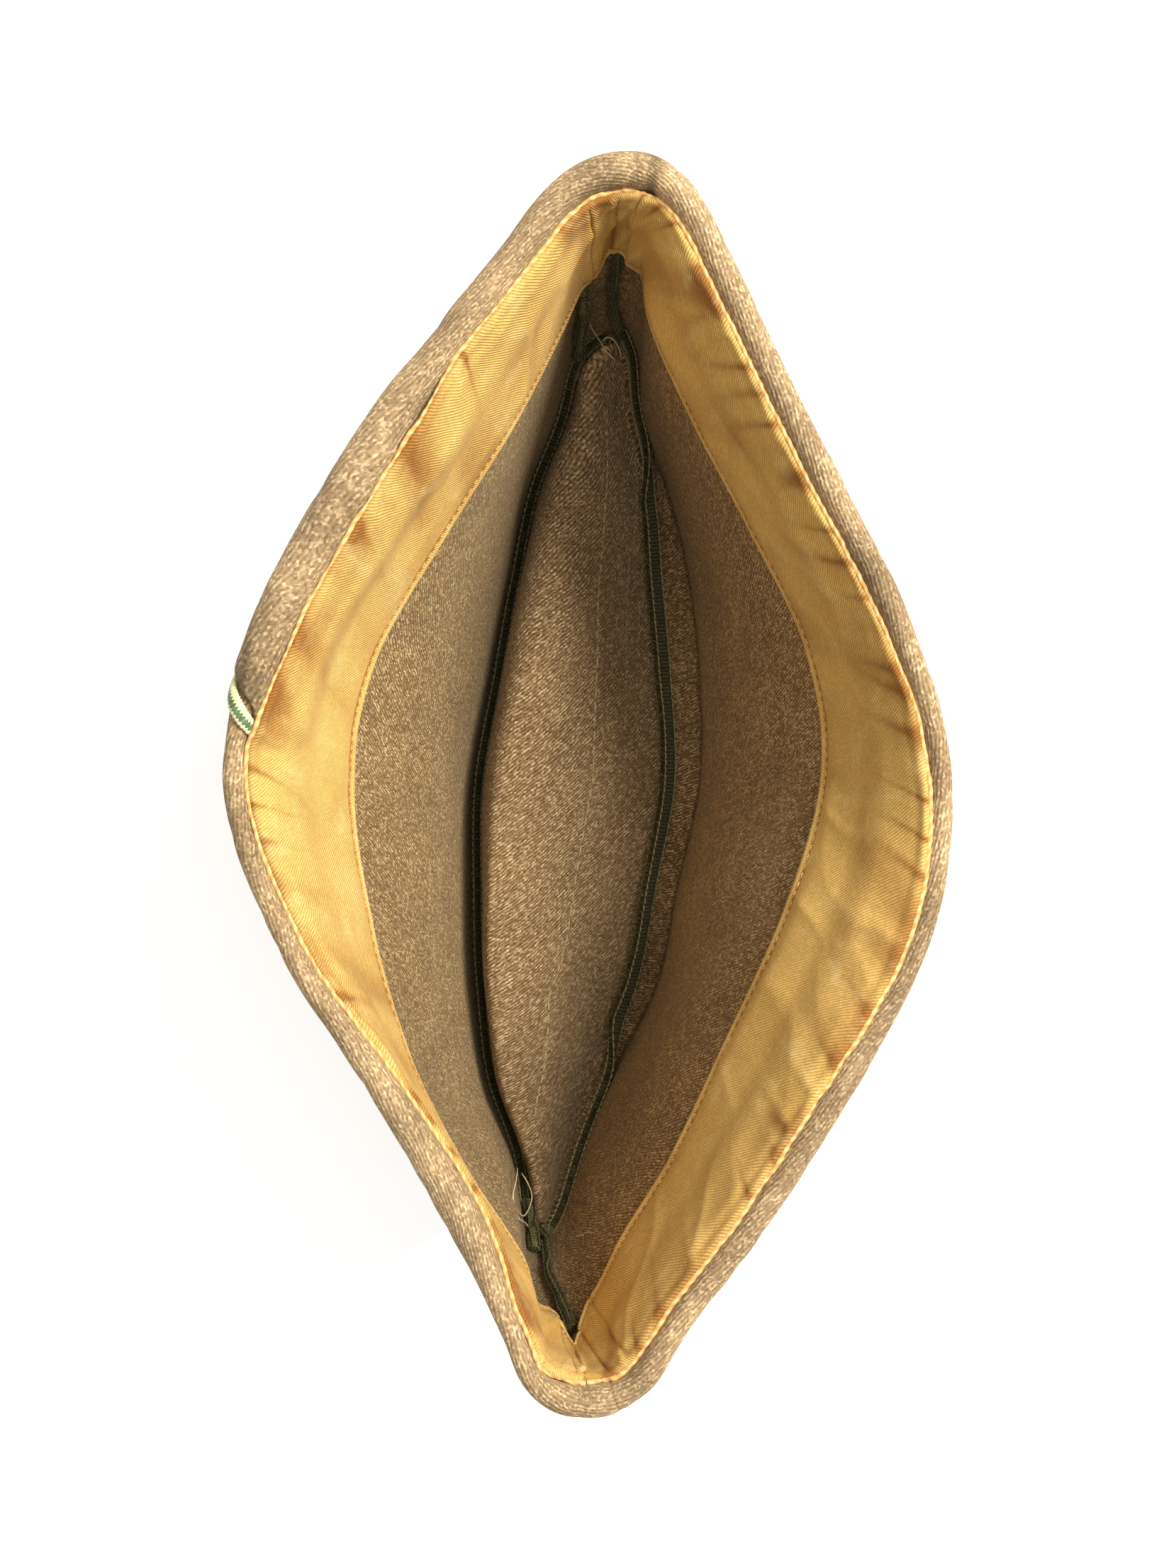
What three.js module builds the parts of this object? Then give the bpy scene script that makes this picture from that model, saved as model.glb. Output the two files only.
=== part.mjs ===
// Garrison cap, opened out and lying on its crown with the opening up.
// Millimetres. +Z is up out of the opening, +Y the back of the cap, -X the wearer's left.
// Stations run anticlockwise from the front: 0 front, 6 right, 12 back, 18 left, 24 front again.
import * as THREE from 'three';
import { mergeVertices } from 'three/addons/utils/BufferGeometryUtils.js';

// Driving sizes
const LENGTH = 250.5; // opening, front to back
const WIDTH = 143.6; // opening, side to side
const HEIGHT = 118; // ridges to the top of the rolled rim
const CROWN_LENGTH = 224; // crown, tip to tip
const CROWN_WIDTH = 63.4; // between the two ridges
const TIP_RISE = 40; // height of the crown's tips over the floor
const CLOTH = 1.1; // wool
const BAND_CLOTH = 1; // cotton twill
const GAP = 0.3; // between pieces that are sewn together
const RIM_ROLL = 7.4; // widest the rolled rim shows
const BAND_WIDTH = 32;
const BAND_DROP = 1; // band's sewn edge below the roll's axis
const LIP = 9; // curtain turned in below the roll's axis
const CURTAIN_DEPTH = 78; // rim to the curtain's free edge
const FOLD = 2; // turn of the cloth at a ridge
const SEAM_TURN = 1; // least cloth between a ridge and its seam
const LEFT_TURN = 1; // more of it on the left
const RIGHT_TURN = 5; // more of it on the right
const CREST = 31; // rise of the gusset's fold over its seams
const ALLOWANCE = 7; // seam allowance
const ALLOWANCE_CLOTH = 1.6; // two pressed layers of it
const PIPING = 2.4; // cord
const OVERLAP = 45; // under-layer hidden by the over-layer
const OVERLAP_STATION = 17.5; // where the over-layer's edge crosses the rim
const SWEEP = 2; // run of that edge along the rim for each mm down
const SWEEP_END = 92; // depth at which it would run straight down
const CORNER = 20; // rounding of the over-layer's corner

// Rim by angle from the right side: centre and half width as shares of half the width, lean of the
// wall from upright in degrees, showing width of the rolled rim as a share of RIM_ROLL, and depth of
// the curtain as a share of CURTAIN_DEPTH. The front is at -90 degrees and the back at 90.
const RIM = [
  { angle: -90, middle: -0.003, half: 0.620, leanL: -5, leanR: -5, rollL: 0.95, rollR: 0.95, depth: 0.64 },
  { angle: -75, middle: -0.002, half: 0.583, leanL: -3, leanR: 10, rollL: 0.76, rollR: 0.85, depth: 0.70 },
  { angle: -60, middle: 0.017, half: 0.511, leanL: 2, leanR: 20, rollL: 0.61, rollR: 0.80, depth: 0.82 },
  { angle: -45, middle: 0.048, half: 0.610, leanL: -11, leanR: 29, rollL: 1.10, rollR: 0.78, depth: 0.93 },
  { angle: -30, middle: 0.064, half: 0.753, leanL: -9, leanR: 47, rollL: 0.90, rollR: 0.85, depth: 0.98 },
  { angle: -15, middle: 0.042, half: 0.923, leanL: 17, leanR: 57, rollL: 0.62, rollR: 0.72, depth: 1 },
  { angle: 0, middle: 0, half: 1, leanL: 36, leanR: 37, rollL: 0.57, rollR: 0.57, depth: 1 },
  { angle: 15, middle: -0.007, half: 0.925, leanL: 28, leanR: 21, rollL: 0.86, rollR: 0.78, depth: 1 },
  { angle: 30, middle: 0.004, half: 0.780, leanL: 34, leanR: 23, rollL: 0.96, rollR: 0.86, depth: 0.98 },
  { angle: 45, middle: 0.034, half: 0.660, leanL: 37, leanR: 29, rollL: 1.00, rollR: 0.88, depth: 0.93 },
  { angle: 60, middle: 0.076, half: 0.587, leanL: 22, leanR: 26, rollL: 1.00, rollR: 0.90, depth: 0.82 },
  { angle: 75, middle: 0.096, half: 0.615, leanL: 10, leanR: 9, rollL: 1.00, rollR: 0.98, depth: 0.70 },
  { angle: 90, middle: 0.110, half: 0.620, leanL: 1, leanR: 1, rollL: 1.05, rollR: 1.05, depth: 0.64 },
];

// Crown ridges by the same angles: centre and half width as shares of half the crown's width, rise as
// a share of TIP_RISE, and the extra turn before the seam as a share of LEFT_TURN or RIGHT_TURN.
const CROWN = [
  { angle: -90, middle: -0.360, half: 0.631, rise: 1, turn: 0 },
  { angle: -75, middle: -0.360, half: 0.631, rise: 0.80, turn: 0.2 },
  { angle: -60, middle: -0.338, half: 0.587, rise: 0.45, turn: 0.5 },
  { angle: -45, middle: -0.334, half: 0.776, rise: 0.15, turn: 0.8 },
  { angle: -30, middle: -0.196, half: 0.924, rise: 0, turn: 1 },
  { angle: -15, middle: -0.120, half: 0.940, rise: 0, turn: 1 },
  { angle: 0, middle: -0.016, half: 1, rise: 0, turn: 1 },
  { angle: 15, middle: 0.063, half: 0.953, rise: 0, turn: 1 },
  { angle: 30, middle: 0.095, half: 0.921, rise: 0, turn: 1 },
  { angle: 45, middle: 0.085, half: 0.864, rise: 0.15, turn: 0.8 },
  { angle: 60, middle: 0.091, half: 0.707, rise: 0.45, turn: 0.5 },
  { angle: 75, middle: 0.139, half: 0.902, rise: 0.80, turn: 0.2 },
  { angle: 90, middle: 0.215, half: 0.902, rise: 1, turn: 0 },
];

// Gusset sections from the back tip to the front tip: rise of the fold as a share of CREST, and its
// place as a share of the way from the left seam to the right one.
const GUSSET = [
  { rise: 0.04, place: 0.5 },
  { rise: 0.25, place: 0.42 },
  { rise: 0.50, place: 0.34 },
  { rise: 0.75, place: 0.28 },
  { rise: 0.95, place: 0.22 },
  { rise: 1, place: 0.17 },
  { rise: 1, place: 0.11 },
  { rise: 0.95, place: 0.08 },
  { rise: 0.85, place: 0.08 },
  { rise: 0.70, place: 0.10 },
  { rise: 0.48, place: 0.16 },
  { rise: 0.25, place: 0.32 },
  { rise: 0.04, place: 0.5 },
];

// Pleats of the sweatband: station, half width in stations, and how far it stands off the wall at the
// band's free edge as a share of BAND_WIDTH.
const PLEATS = [
  { at: 0.5, wide: 0.5, stands: 0.06 },
  { at: 11.5, wide: 0.5, stands: 0.10 },
  { at: 12.5, wide: 0.5, stands: 0.12 },
  { at: 23.5, wide: 0.5, stands: 0.08 },
];

const STATIONS = 24;
const HALF_TURN = STATIONS / 2;
const LAYER = CLOTH + GAP;
const rimMetres = () => Math.PI * (LENGTH + WIDTH) / 2 * 0.97;
const STATION_RUN = rimMetres() / STATIONS * 1.3; // rim length of one station near the sides
const MIN = 1e-3;

// Smooth step from 0 at x = 0 to 1 at x = 1
const ease = (x) => {
  const c = Math.min(1, Math.max(0, x));
  return c * c * (3 - 2 * c);
};

// Closed ring of values from a table, right side from the front to the back and left side back again
function ring(table, right, left = right) {
  const rising = table.map((row) => row[right]);
  const falling = table.map((row) => row[left]).slice(1, -1).reverse();
  return [...rising, ...falling];
}

// Value of a ring at any station, by a uniform Catmull-Rom curve through its rows
function at(values, station) {
  const n = values.length;
  const u = ((station % n) + n) % n;
  const i = Math.floor(u);
  const t = u - i;
  const [a, b, c, d] = [-1, 0, 1, 2].map((k) => values[(i + k + n) % n]);
  const curve = 2 * b + (c - a) * t + (2 * a - 5 * b + 4 * c - d) * t * t + (3 * b - a - 3 * c + d) * t ** 3;
  return curve / 2;
}

const rings = {
  middle: ring(RIM, 'middle'),
  half: ring(RIM, 'half'),
  lean: ring(RIM, 'leanR', 'leanL'),
  roll: ring(RIM, 'rollR', 'rollL'),
  depth: ring(RIM, 'depth'),
  crownMiddle: ring(CROWN, 'middle'),
  crownHalf: ring(CROWN, 'half'),
  rise: ring(CROWN, 'rise'),
  turn: ring(CROWN, 'turn'),
};

const angleOf = (u) => THREE.MathUtils.degToRad(u * 360 / STATIONS - 90);

// Plan outline of the rim and of the ridges
function rimPlan(u) {
  const x = at(rings.middle, u) + at(rings.half, u) * Math.cos(angleOf(u));
  return new THREE.Vector3(x * WIDTH / 2, Math.sin(angleOf(u)) * LENGTH / 2, 0);
}

function crownPlan(u) {
  const x = at(rings.crownMiddle, u) + at(rings.crownHalf, u) * Math.cos(angleOf(u));
  return new THREE.Vector3(x * CROWN_WIDTH / 2, Math.sin(angleOf(u)) * CROWN_LENGTH / 2, 0);
}

// Unit vector in plan from an outline towards the inside
function inward(plan, u) {
  const d = plan(u + MIN).sub(plan(u - MIN)).normalize();
  return new THREE.Vector3(-d.y, d.x, 0);
}

// Radius of the roll's middle surface, at least enough for the crown panel inside it
const rollRadius = (u) => Math.max(LAYER, (at(rings.roll, u) * RIM_ROLL - 2 * CLOTH) / 2);
const crownRise = (u) => Math.max(0, at(rings.rise, u)) * TIP_RISE;
const curtainDepth = (u) => at(rings.depth, u) * CURTAIN_DEPTH;

// Wall line of one station, from the roll's axis down to the ridge
function wallLine(u) {
  const inRim = inward(rimPlan, u);
  const lean = THREE.MathUtils.degToRad(at(rings.lean, u));
  const set = rollRadius(u) + CLOTH / 2;
  const top = rimPlan(u).addScaledVector(inRim, set).setZ(HEIGHT - set);
  const foot = crownPlan(u).setZ(crownRise(u) + CLOTH / 2 + FOLD);
  const reach = top.distanceTo(foot) * 0.36;
  const down = inRim.clone().multiplyScalar(Math.sin(lean)).setZ(-Math.cos(lean));
  const bend = top.clone().addScaledVector(down, reach);
  const stand = foot.clone().setZ(foot.z + reach * 0.9);
  return new THREE.CubicBezierCurve3(top, bend, stand, foot);
}

const lines = new Map();
function lineAt(u) {
  const key = u.toFixed(5);
  if (!lines.has(key)) {
    const curve = wallLine(u);
    lines.set(key, { curve, length: curve.getPoints(16).reduce(addStep, { sum: 0 }).sum });
  }
  return lines.get(key);
}

function addStep(track, point) {
  const sum = track.last ? track.sum + track.last.distanceTo(point) : 0;
  return { sum, last: point };
}

// Point on the wall's middle surface, s mm down it, set off by a distance outwards
function wallPoint(u, s, out = 0) {
  const { curve, length } = lineAt(u);
  const t = s / length;
  const point = curve.getPoint(t);
  if (out === 0) return point;
  return point.addScaledVector(wallNormal(u, t), out);
}

function wallNormal(u, t) {
  const step = 0.01;
  const along = lineAt(u + step).curve.getPoint(t).sub(lineAt(u - step).curve.getPoint(t));
  const down = lineAt(u).curve.getPoint(t + MIN).sub(lineAt(u).curve.getPoint(t - MIN));
  return down.cross(along).normalize();
}

// Closed thick sheet between two grids of points. Cells before the turned row are split the other way,
// so that a layer which runs up one side and down the other has its facets parallel to its neighbours'.
function slab(outer, inner, loop = false, turned = 0) {
  const columns = outer.length;
  const rows = outer[0].length;
  const positions = [outer, inner].flat(2).flatMap((p) => p.toArray());
  const place = (side, i, j) => side * columns * rows + (i % columns) * rows + j;
  const index = [];
  const quad = (a, b, c, d) => index.push(a, b, c, a, c, d);
  const last = loop ? columns : columns - 1;
  for (let i = 0; i < last; i++) {
    for (let j = 0; j < rows - 1; j++) {
      const around = [[i, j], [i + 1, j], [i + 1, j + 1], [i, j + 1]];
      if (j < turned) around.push(around.shift());
      quad(...around.map(([a, b]) => place(0, a, b)));
      around.push(around.shift());
      quad(...around.map(([a, b]) => place(1, a, b)).reverse());
    }
    quad(place(0, i, 0), place(1, i, 0), place(1, i + 1, 0), place(0, i + 1, 0));
    quad(place(0, i, rows - 1), place(0, i + 1, rows - 1), place(1, i + 1, rows - 1), place(1, i, rows - 1));
  }
  if (!loop) {
    for (let j = 0; j < rows - 1; j++) {
      const e = columns - 1;
      quad(place(0, 0, j), place(0, 0, j + 1), place(1, 0, j + 1), place(1, 0, j));
      quad(place(0, e, j), place(1, e, j), place(1, e, j + 1), place(0, e, j + 1));
    }
  }
  return solid(positions, index);
}

// Indexed geometry with merged points, no empty triangles, and its faces outwards
function solid(positions, index) {
  const raw = new THREE.BufferGeometry();
  raw.setAttribute('position', new THREE.Float32BufferAttribute(positions, 3));
  raw.setIndex(index);
  const merged = mergeVertices(raw, 1e-4);
  const found = merged.getIndex().array;
  const kept = [];
  for (let k = 0; k < found.length; k += 3) {
    const [a, b, c] = found.slice(k, k + 3);
    if (a !== b && b !== c && c !== a) kept.push(a, b, c);
  }
  if (volume(merged, kept) < 0) {
    for (let k = 0; k < kept.length; k += 3) [kept[k + 1], kept[k + 2]] = [kept[k + 2], kept[k + 1]];
  }
  merged.setIndex(kept);
  merged.computeVertexNormals();
  return merged;
}

function volume(geometry, index) {
  const points = geometry.getAttribute('position');
  const corner = (k) => new THREE.Vector3().fromBufferAttribute(points, index[k]);
  let sum = 0;
  for (let k = 0; k < index.length; k += 3) {
    sum += corner(k).dot(corner(k + 1).cross(corner(k + 2)));
  }
  return sum / 6;
}

// Depths that all layers share, as shares of the curtain's depth
const SHARES = [0.12, 0.28, 0.45, 0.62, 0.80, 0.92, 1];

// Columns of stations that all layers share, finer where the curtain overlaps
function stationsBetween(start, end) {
  const found = [];
  for (let u = start; u < end - MIN; u += u >= 14 && u < 18.5 ? 0.25 : 0.5) found.push(u);
  found.push(end);
  return found;
}

// Station shifted from an end seam by a gap, so that the curved ends of two pieces stay clear
function seamShift(u, side) {
  const speed = crownPlan(u + MIN).distanceTo(crownPlan(u - MIN)) / (2 * MIN);
  return u + side * GAP / speed;
}

// Distance from a ridge to its crown seam
function seamReach(u) {
  const extra = u > HALF_TURN && u < STATIONS ? LEFT_TURN : RIGHT_TURN;
  return FOLD + SEAM_TURN + extra * Math.max(0, at(rings.turn, u));
}

// Point of a crown panel: down the wall, round the ridge, then flat to the seam
function panelPoint(u, row, out) {
  if (row.share !== undefined) return wallPoint(u, row.share * curtainDepth(u), out);
  if (row.below !== undefined) {
    const { length } = lineAt(u);
    return wallPoint(u, length - (1 - row.below) * (length - curtainDepth(u)), out);
  }
  const across = inward(crownPlan, u);
  const turn = row.turn * Math.PI / 2;
  const flat = row.flat * (seamReach(u) - FOLD);
  const normal = across.clone().multiplyScalar(-Math.cos(turn)).setZ(-Math.sin(turn));
  const foot = crownPlan(u).setZ(crownRise(u) + CLOTH / 2 + FOLD);
  foot.addScaledVector(across, FOLD * (1 - Math.cos(turn)) + flat);
  foot.z -= FOLD * Math.sin(turn);
  return foot.addScaledVector(normal, out);
}

function crownPanel(start, end) {
  const columns = stationsBetween(start, end);
  columns[0] = seamShift(start, 1);
  columns[columns.length - 1] = seamShift(end, -1);
  const rows = [0, ...SHARES].map((share) => ({ share }));
  rows.push({ below: 0.5 }, { below: 1 });
  rows.push({ turn: 1 / 3, flat: 0 }, { turn: 2 / 3, flat: 0 }, { turn: 1, flat: 0 }, { turn: 1, flat: 1 });
  const face = (out) => columns.map((u) => rows.map((row) => panelPoint(u, row, out)));
  return slab(face(CLOTH / 2), face(-CLOTH / 2));
}

// Seam line of the gusset at one side, a gap beyond the panel and clear of it where the gusset is steep
function gussetSeam(u) {
  const point = crownPlan(u).setZ(crownRise(u) + CLOTH / 2);
  return point.addScaledVector(inward(crownPlan, u), seamReach(u) + GAP + CLOTH / 2);
}

// Cross section k of the gusset: a gentle rise from the right seam to the fold, a steep fall to the left
function gussetSection(k) {
  const right = gussetSeam(HALF_TURN - k);
  const left = gussetSeam(HALF_TURN + k);
  const across = right.clone().sub(left);
  const crest = left.clone().addScaledVector(across, at(gussetRings.place, k));
  crest.z += at(gussetRings.rise, k) * CREST;
  const lift = crest.z - left.z;
  const span = across.clone().setZ(0);
  const place = at(gussetRings.place, k);
  const rising = new THREE.CubicBezierCurve3(
    right,
    right.clone().addScaledVector(span, -0.3 * (1 - place)).setZ(right.z + 0.12 * lift),
    crest.clone().addScaledVector(span, 0.38 * (1 - place)),
    crest,
  );
  const falling = new THREE.CubicBezierCurve3(
    crest,
    crest.clone().addScaledVector(span, -0.9 * place),
    left.clone().setZ(left.z + 0.6 * lift),
    left,
  );
  return [...rising.getPoints(6), ...falling.getPoints(5).slice(1)];
}

// Rows of the gusset table followed by themselves backwards, so that the curve through them closes
const gussetRings = {
  rise: [...GUSSET.map((row) => row.rise), ...GUSSET.map((row) => row.rise).slice(1, -1).reverse()],
  place: [...GUSSET.map((row) => row.place), ...GUSSET.map((row) => row.place).slice(1, -1).reverse()],
};

function thicken(grid, thickness) {
  const point = (i, j) => grid[Math.min(grid.length - 1, Math.max(0, i))][Math.min(grid[0].length - 1, Math.max(0, j))];
  const shifted = (out) => grid.map((column, i) => column.map((p, j) => {
    const along = point(i + 1, j).clone().sub(point(i - 1, j));
    const across = point(i, j + 1).clone().sub(point(i, j - 1));
    return p.clone().addScaledVector(along.cross(across).normalize(), out);
  }));
  return slab(shifted(thickness / 2), shifted(-thickness / 2));
}

function crownGusset() {
  const tip = 0.12;
  const sections = stationsBetween(0, HALF_TURN);
  sections[0] = tip;
  sections[sections.length - 1] = HALF_TURN - tip;
  return thicken(sections.map(gussetSection), CLOTH);
}

// Path of the curtain's section: q mm from the top of the roll, outwards positive
const rollQuarter = (u) => rollRadius(u) * Math.PI / 2;

// Station of the over-layer's free edge at q, swept back, then rounded at its corner
const sweptEdge = (q) => OVERLAP_STATION - SWEEP * q * (1 - q / (2 * SWEEP_END)) / STATION_RUN;

function overEdge(q) {
  const beyond = Math.max(0, q - (CURTAIN_DEPTH - CORNER));
  const rounding = CORNER - Math.sqrt(Math.max(0, CORNER ** 2 - Math.min(beyond, CORNER) ** 2));
  return sweptEdge(q) - rounding / STATION_RUN;
}

const underEdge = (q) => sweptEdge(q) - OVERLAP / STATION_RUN;

// Lift of the over-layer where the under-layer lies below it
const LIFT = LAYER + GAP;
const overLift = (u, q) => LIFT * ease((u - underEdge(q) + 0.9) / 0.6);

// Distance of the curtain from the wall, s mm down the outside or the inside
const outside = (u, s) => LAYER + (rollRadius(u) - LAYER) * (1 - ease(s / (2 * LIP)));
const inside = (u, s) => LAYER + (rollRadius(u) - LAYER) * (1 - ease(s / LIP));

// Rows of the curtain from the lip's end up, over the roll and down to the free edge
const CURTAIN_ROWS = [
  ...[1, 0.5].map((lip) => ({ lip })),
  ...[1, 5 / 6, 4 / 6, 3 / 6, 2 / 6, 1 / 6, 0].map((turn) => ({ turn })),
  ...SHARES.map((share) => ({ share })),
];

const pathOf = (u, row) => {
  if (row.share !== undefined) return rollQuarter(u) + row.share * curtainDepth(u);
  if (row.turn !== undefined) return rollQuarter(u) * (1 - 2 * row.turn);
  return -rollQuarter(u) - row.lip * LIP;
};

// Point of the curtain at q, set off from its middle surface
function curtainPoint(u, q, lift, out) {
  const radius = rollRadius(u);
  const quarter = rollQuarter(u);
  if (q > quarter) return wallPoint(u, q - quarter, outside(u, q - quarter) + lift + out);
  if (q < -quarter) return wallPoint(u, -q - quarter, -inside(u, -q - quarter) - lift - out);
  const normal = wallNormal(u, 0);
  const up = lineAt(u).curve.getTangent(0).negate();
  const turn = (1 - q / quarter) * Math.PI / 2;
  const reach = radius + lift + out;
  return wallPoint(u, 0).addScaledVector(normal, reach * Math.cos(turn)).addScaledVector(up, reach * Math.sin(turn));
}

// Curtain layer whose columns stop at an edge that depends on the row
function curtain(columns, edge, pick, liftAt) {
  const limits = CURTAIN_ROWS.map((row) => {
    let limit = OVERLAP_STATION;
    for (let k = 0; k < 8; k++) limit = edge(pathOf(limit, row));
    return limit;
  });
  const snapped = (u, limit) => (Math.abs(u - limit) < 0.03 ? limit : pick(u, limit));
  const face = (out) => columns.map((u) => CURTAIN_ROWS.map((row, j) => {
    const v = snapped(u, limits[j]);
    const q = pathOf(v, row);
    return curtainPoint(v, q, liftAt(v, q), out);
  }));
  return slab(face(CLOTH / 2), face(-CLOTH / 2), false, CURTAIN_ROWS.findIndex((row) => row.turn < 1));
}

function curtainOver() {
  const columns = stationsBetween(0, 18.5);
  columns[0] = seamShift(0, 1);
  return curtain(columns, overEdge, Math.min, overLift);
}

function curtainUnder() {
  const columns = stationsBetween(13.5, STATIONS);
  columns[columns.length - 1] = seamShift(STATIONS, -1);
  return curtain(columns, underEdge, Math.max, () => 0);
}

// Pleats push the sweatband off the wall towards its free edge
function pleat(u, share) {
  const swell = PLEATS.map(({ at: middle, wide, stands }) => {
    const x = Math.abs(u - middle) / wide;
    return x < 1 ? stands * BAND_WIDTH * (1 - x * x) ** 2 : 0;
  });
  return Math.max(...swell) * ease(share * 1.2);
}

// Room for the under-layer and the cord where they pass between the wall and the band
const roomStart = (u) => ease((u - underEdge(0) + 1) / 0.6);
const roomEnd = (u) => 1 - ease((u - overEdge(-2 * LIP)) / 0.5);
const overlapRoom = (u) => LIFT * roomStart(u) * roomEnd(u);

function bandPoint(u, s, out) {
  const clear = CLOTH / 2 + GAP + BAND_CLOTH / 2;
  const passed = ease((s - LIP - 1.5) / LIP);
  const lip = (inside(u, s) + overlapRoom(u) + GAP / 2) * (1 - passed);
  return wallPoint(u, s, -clear - lip - pleat(u, (s - BAND_DROP) / BAND_WIDTH) + out);
}

function sweatband() {
  const columns = stationsBetween(0, STATIONS).slice(0, -1);
  const rows = [0, 0.14, 0.28, 0.44, 0.7, 1].map((share) => BAND_DROP + share * BAND_WIDTH);
  const face = (out) => columns.map((u) => rows.map((s) => bandPoint(u, s, out)));
  return slab(face(BAND_CLOTH / 2), face(-BAND_CLOTH / 2), true);
}

// Overlocked allowance standing on a crown seam. In the middle it leans over the gusset by an angle from
// upright, and towards the tips it stands in the narrow pocket between the gusset and the panel.
function crownAllowance(start, end, lean) {
  const pocket = CLOTH / 2 + ALLOWANCE_CLOTH / 2;
  const grid = stationsBetween(start, end).map((u) => {
    const across = inward(crownPlan, u);
    const open = lean > 0 ? ease(at(rings.turn, u) * 1.4 - 0.4) : 0;
    const tilt = THREE.MathUtils.degToRad(lean * open);
    const set = -pocket * (1 - open);
    const foot = crownPlan(u).addScaledVector(across, seamReach(u) + set);
    foot.z = crownRise(u) + CLOTH + GAP + ALLOWANCE_CLOTH / 2 * Math.sin(tilt) + GAP;
    return [0, 0.5, 1].map((share) => {
      const reach = share * ALLOWANCE;
      const point = foot.clone().addScaledVector(across, reach * Math.sin(tilt));
      return point.setZ(foot.z + reach * Math.cos(tilt));
    });
  });
  return thicken(grid, ALLOWANCE_CLOTH);
}

// Upright allowance of an end seam, a fin inside the corner below the band
function endAllowance(u) {
  const { length } = lineAt(u);
  const start = BAND_DROP + BAND_WIDTH + 4;
  const end = length - ALLOWANCE - 2;
  const grid = [0, 0.25, 0.5, 0.75, 1].map((share) => {
    const s = start + share * (end - start);
    return [0, 1].map((deep) => wallPoint(u, s, -CLOTH / 2 - 2 * GAP - deep * ALLOWANCE));
  });
  return thicken(grid, ALLOWANCE_CLOTH);
}

const PIPING_SET = (PIPING / 2 + GAP) * 1.2; // cord's axis from the curtain's sloping edge
const END_CLEAR = 0.1; // stations from the front seam to a cord's end

// Cord sewn to the free edge: from inside the rim, out over the roll, round the back and the right side
// to the front seam, then along the under-layer until the over-layer hides it
function pipingPath() {
  const beside = PIPING_SET;
  const proud = CLOTH / 2 + GAP * 1.5 + PIPING / 2;
  const path = [];
  const add = (u, q, lift) => {
    const ahead = curtainPoint(u, q, lift, proud + 1);
    const point = curtainPoint(u, q, lift, proud);
    path.push({ point, normal: ahead.sub(point).normalize() });
  };
  const addBeside = (q) => {
    const lean = (overEdge(q - 0.5) - overEdge(q + 0.5)) * STATION_RUN;
    const reach = beside / Math.hypot(1, lean);
    add(overEdge(q) + reach / STATION_RUN, q + reach * lean, 0);
  };
  const start = -rollRadius(OVERLAP_STATION) * 1.1;
  const straight = CURTAIN_DEPTH - CORNER;
  for (let q = start; q < 5; q += 1) addBeside(q);
  for (let k = 0; k < 12; k++) addBeside(5 + k * (straight - 5) / 12);
  for (const share of [0, 0.25, 0.5, 0.7, 0.85, 0.94]) addBeside(straight + share * CORNER);
  const top = (u) => rollQuarter(u) + curtainDepth(u) + beside;
  const turned = overEdge(CURTAIN_DEPTH);
  for (let u = Math.floor(turned * 2) / 2; u > 0.25; u -= 0.5) add(u, top(u), -LAYER * ease(turned - u + 0.4));
  add(END_CLEAR, top(0), -LAYER);
  return path;
}

function underPipingPath() {
  const path = [];
  const proud = CLOTH / 2 + GAP * 1.5 + PIPING / 2 - LAYER;
  for (const u of stationsBetween(16.5, STATIONS - END_CLEAR).reverse()) {
    const q = rollQuarter(u) + curtainDepth(u) + PIPING_SET;
    const point = curtainPoint(u, q, 0, proud);
    path.push({ point, normal: curtainPoint(u, q, 0, proud + 1).sub(point).normalize() });
  }
  return path;
}

// Closed round cord along a path that carries its surface normals
function cord(path, radius, sides = 6) {
  const positions = [];
  const index = [];
  path.forEach(({ point, normal }, i) => {
    const before = path[Math.max(0, i - 1)].point;
    const after = path[Math.min(path.length - 1, i + 1)].point;
    const along = after.clone().sub(before).normalize();
    const side = along.clone().cross(normal).normalize();
    const up = side.clone().cross(along);
    for (let k = 0; k < sides; k++) {
      const a = 2 * Math.PI * (k + 0.5) / sides;
      const reach = side.clone().multiplyScalar(Math.cos(a) * radius).addScaledVector(up, Math.sin(a) * radius);
      positions.push(...reach.add(point).toArray());
    }
  });
  for (let i = 0; i < path.length - 1; i++) {
    for (let k = 0; k < sides; k++) {
      const [a, b] = [i * sides + k, i * sides + (k + 1) % sides];
      index.push(a, b, b + sides, a, b + sides, a + sides);
    }
  }
  const last = (path.length - 1) * sides;
  for (let k = 1; k < sides - 1; k++) index.push(0, k + 1, k, last, last + k, last + k + 1);
  return solid(positions, index);
}

// Materials from the photo
const wool = (color) => new THREE.MeshStandardMaterial({ color, roughness: 0.95, metalness: 0 });
const cotton = new THREE.MeshStandardMaterial({ color: 0xc98f3f, roughness: 0.9, metalness: 0 });
const cording = new THREE.MeshStandardMaterial({ color: 0xc9cfa6, roughness: 0.8, metalness: 0 });
const overlock = new THREE.MeshStandardMaterial({ color: 0x4b4e2c, roughness: 0.95, metalness: 0 });

const cap = new THREE.Group();
cap.name = 'garrison_cap';
function piece(name, geometry, material) {
  const mesh = new THREE.Mesh(geometry, material);
  mesh.name = name;
  cap.add(mesh);
}

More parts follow.
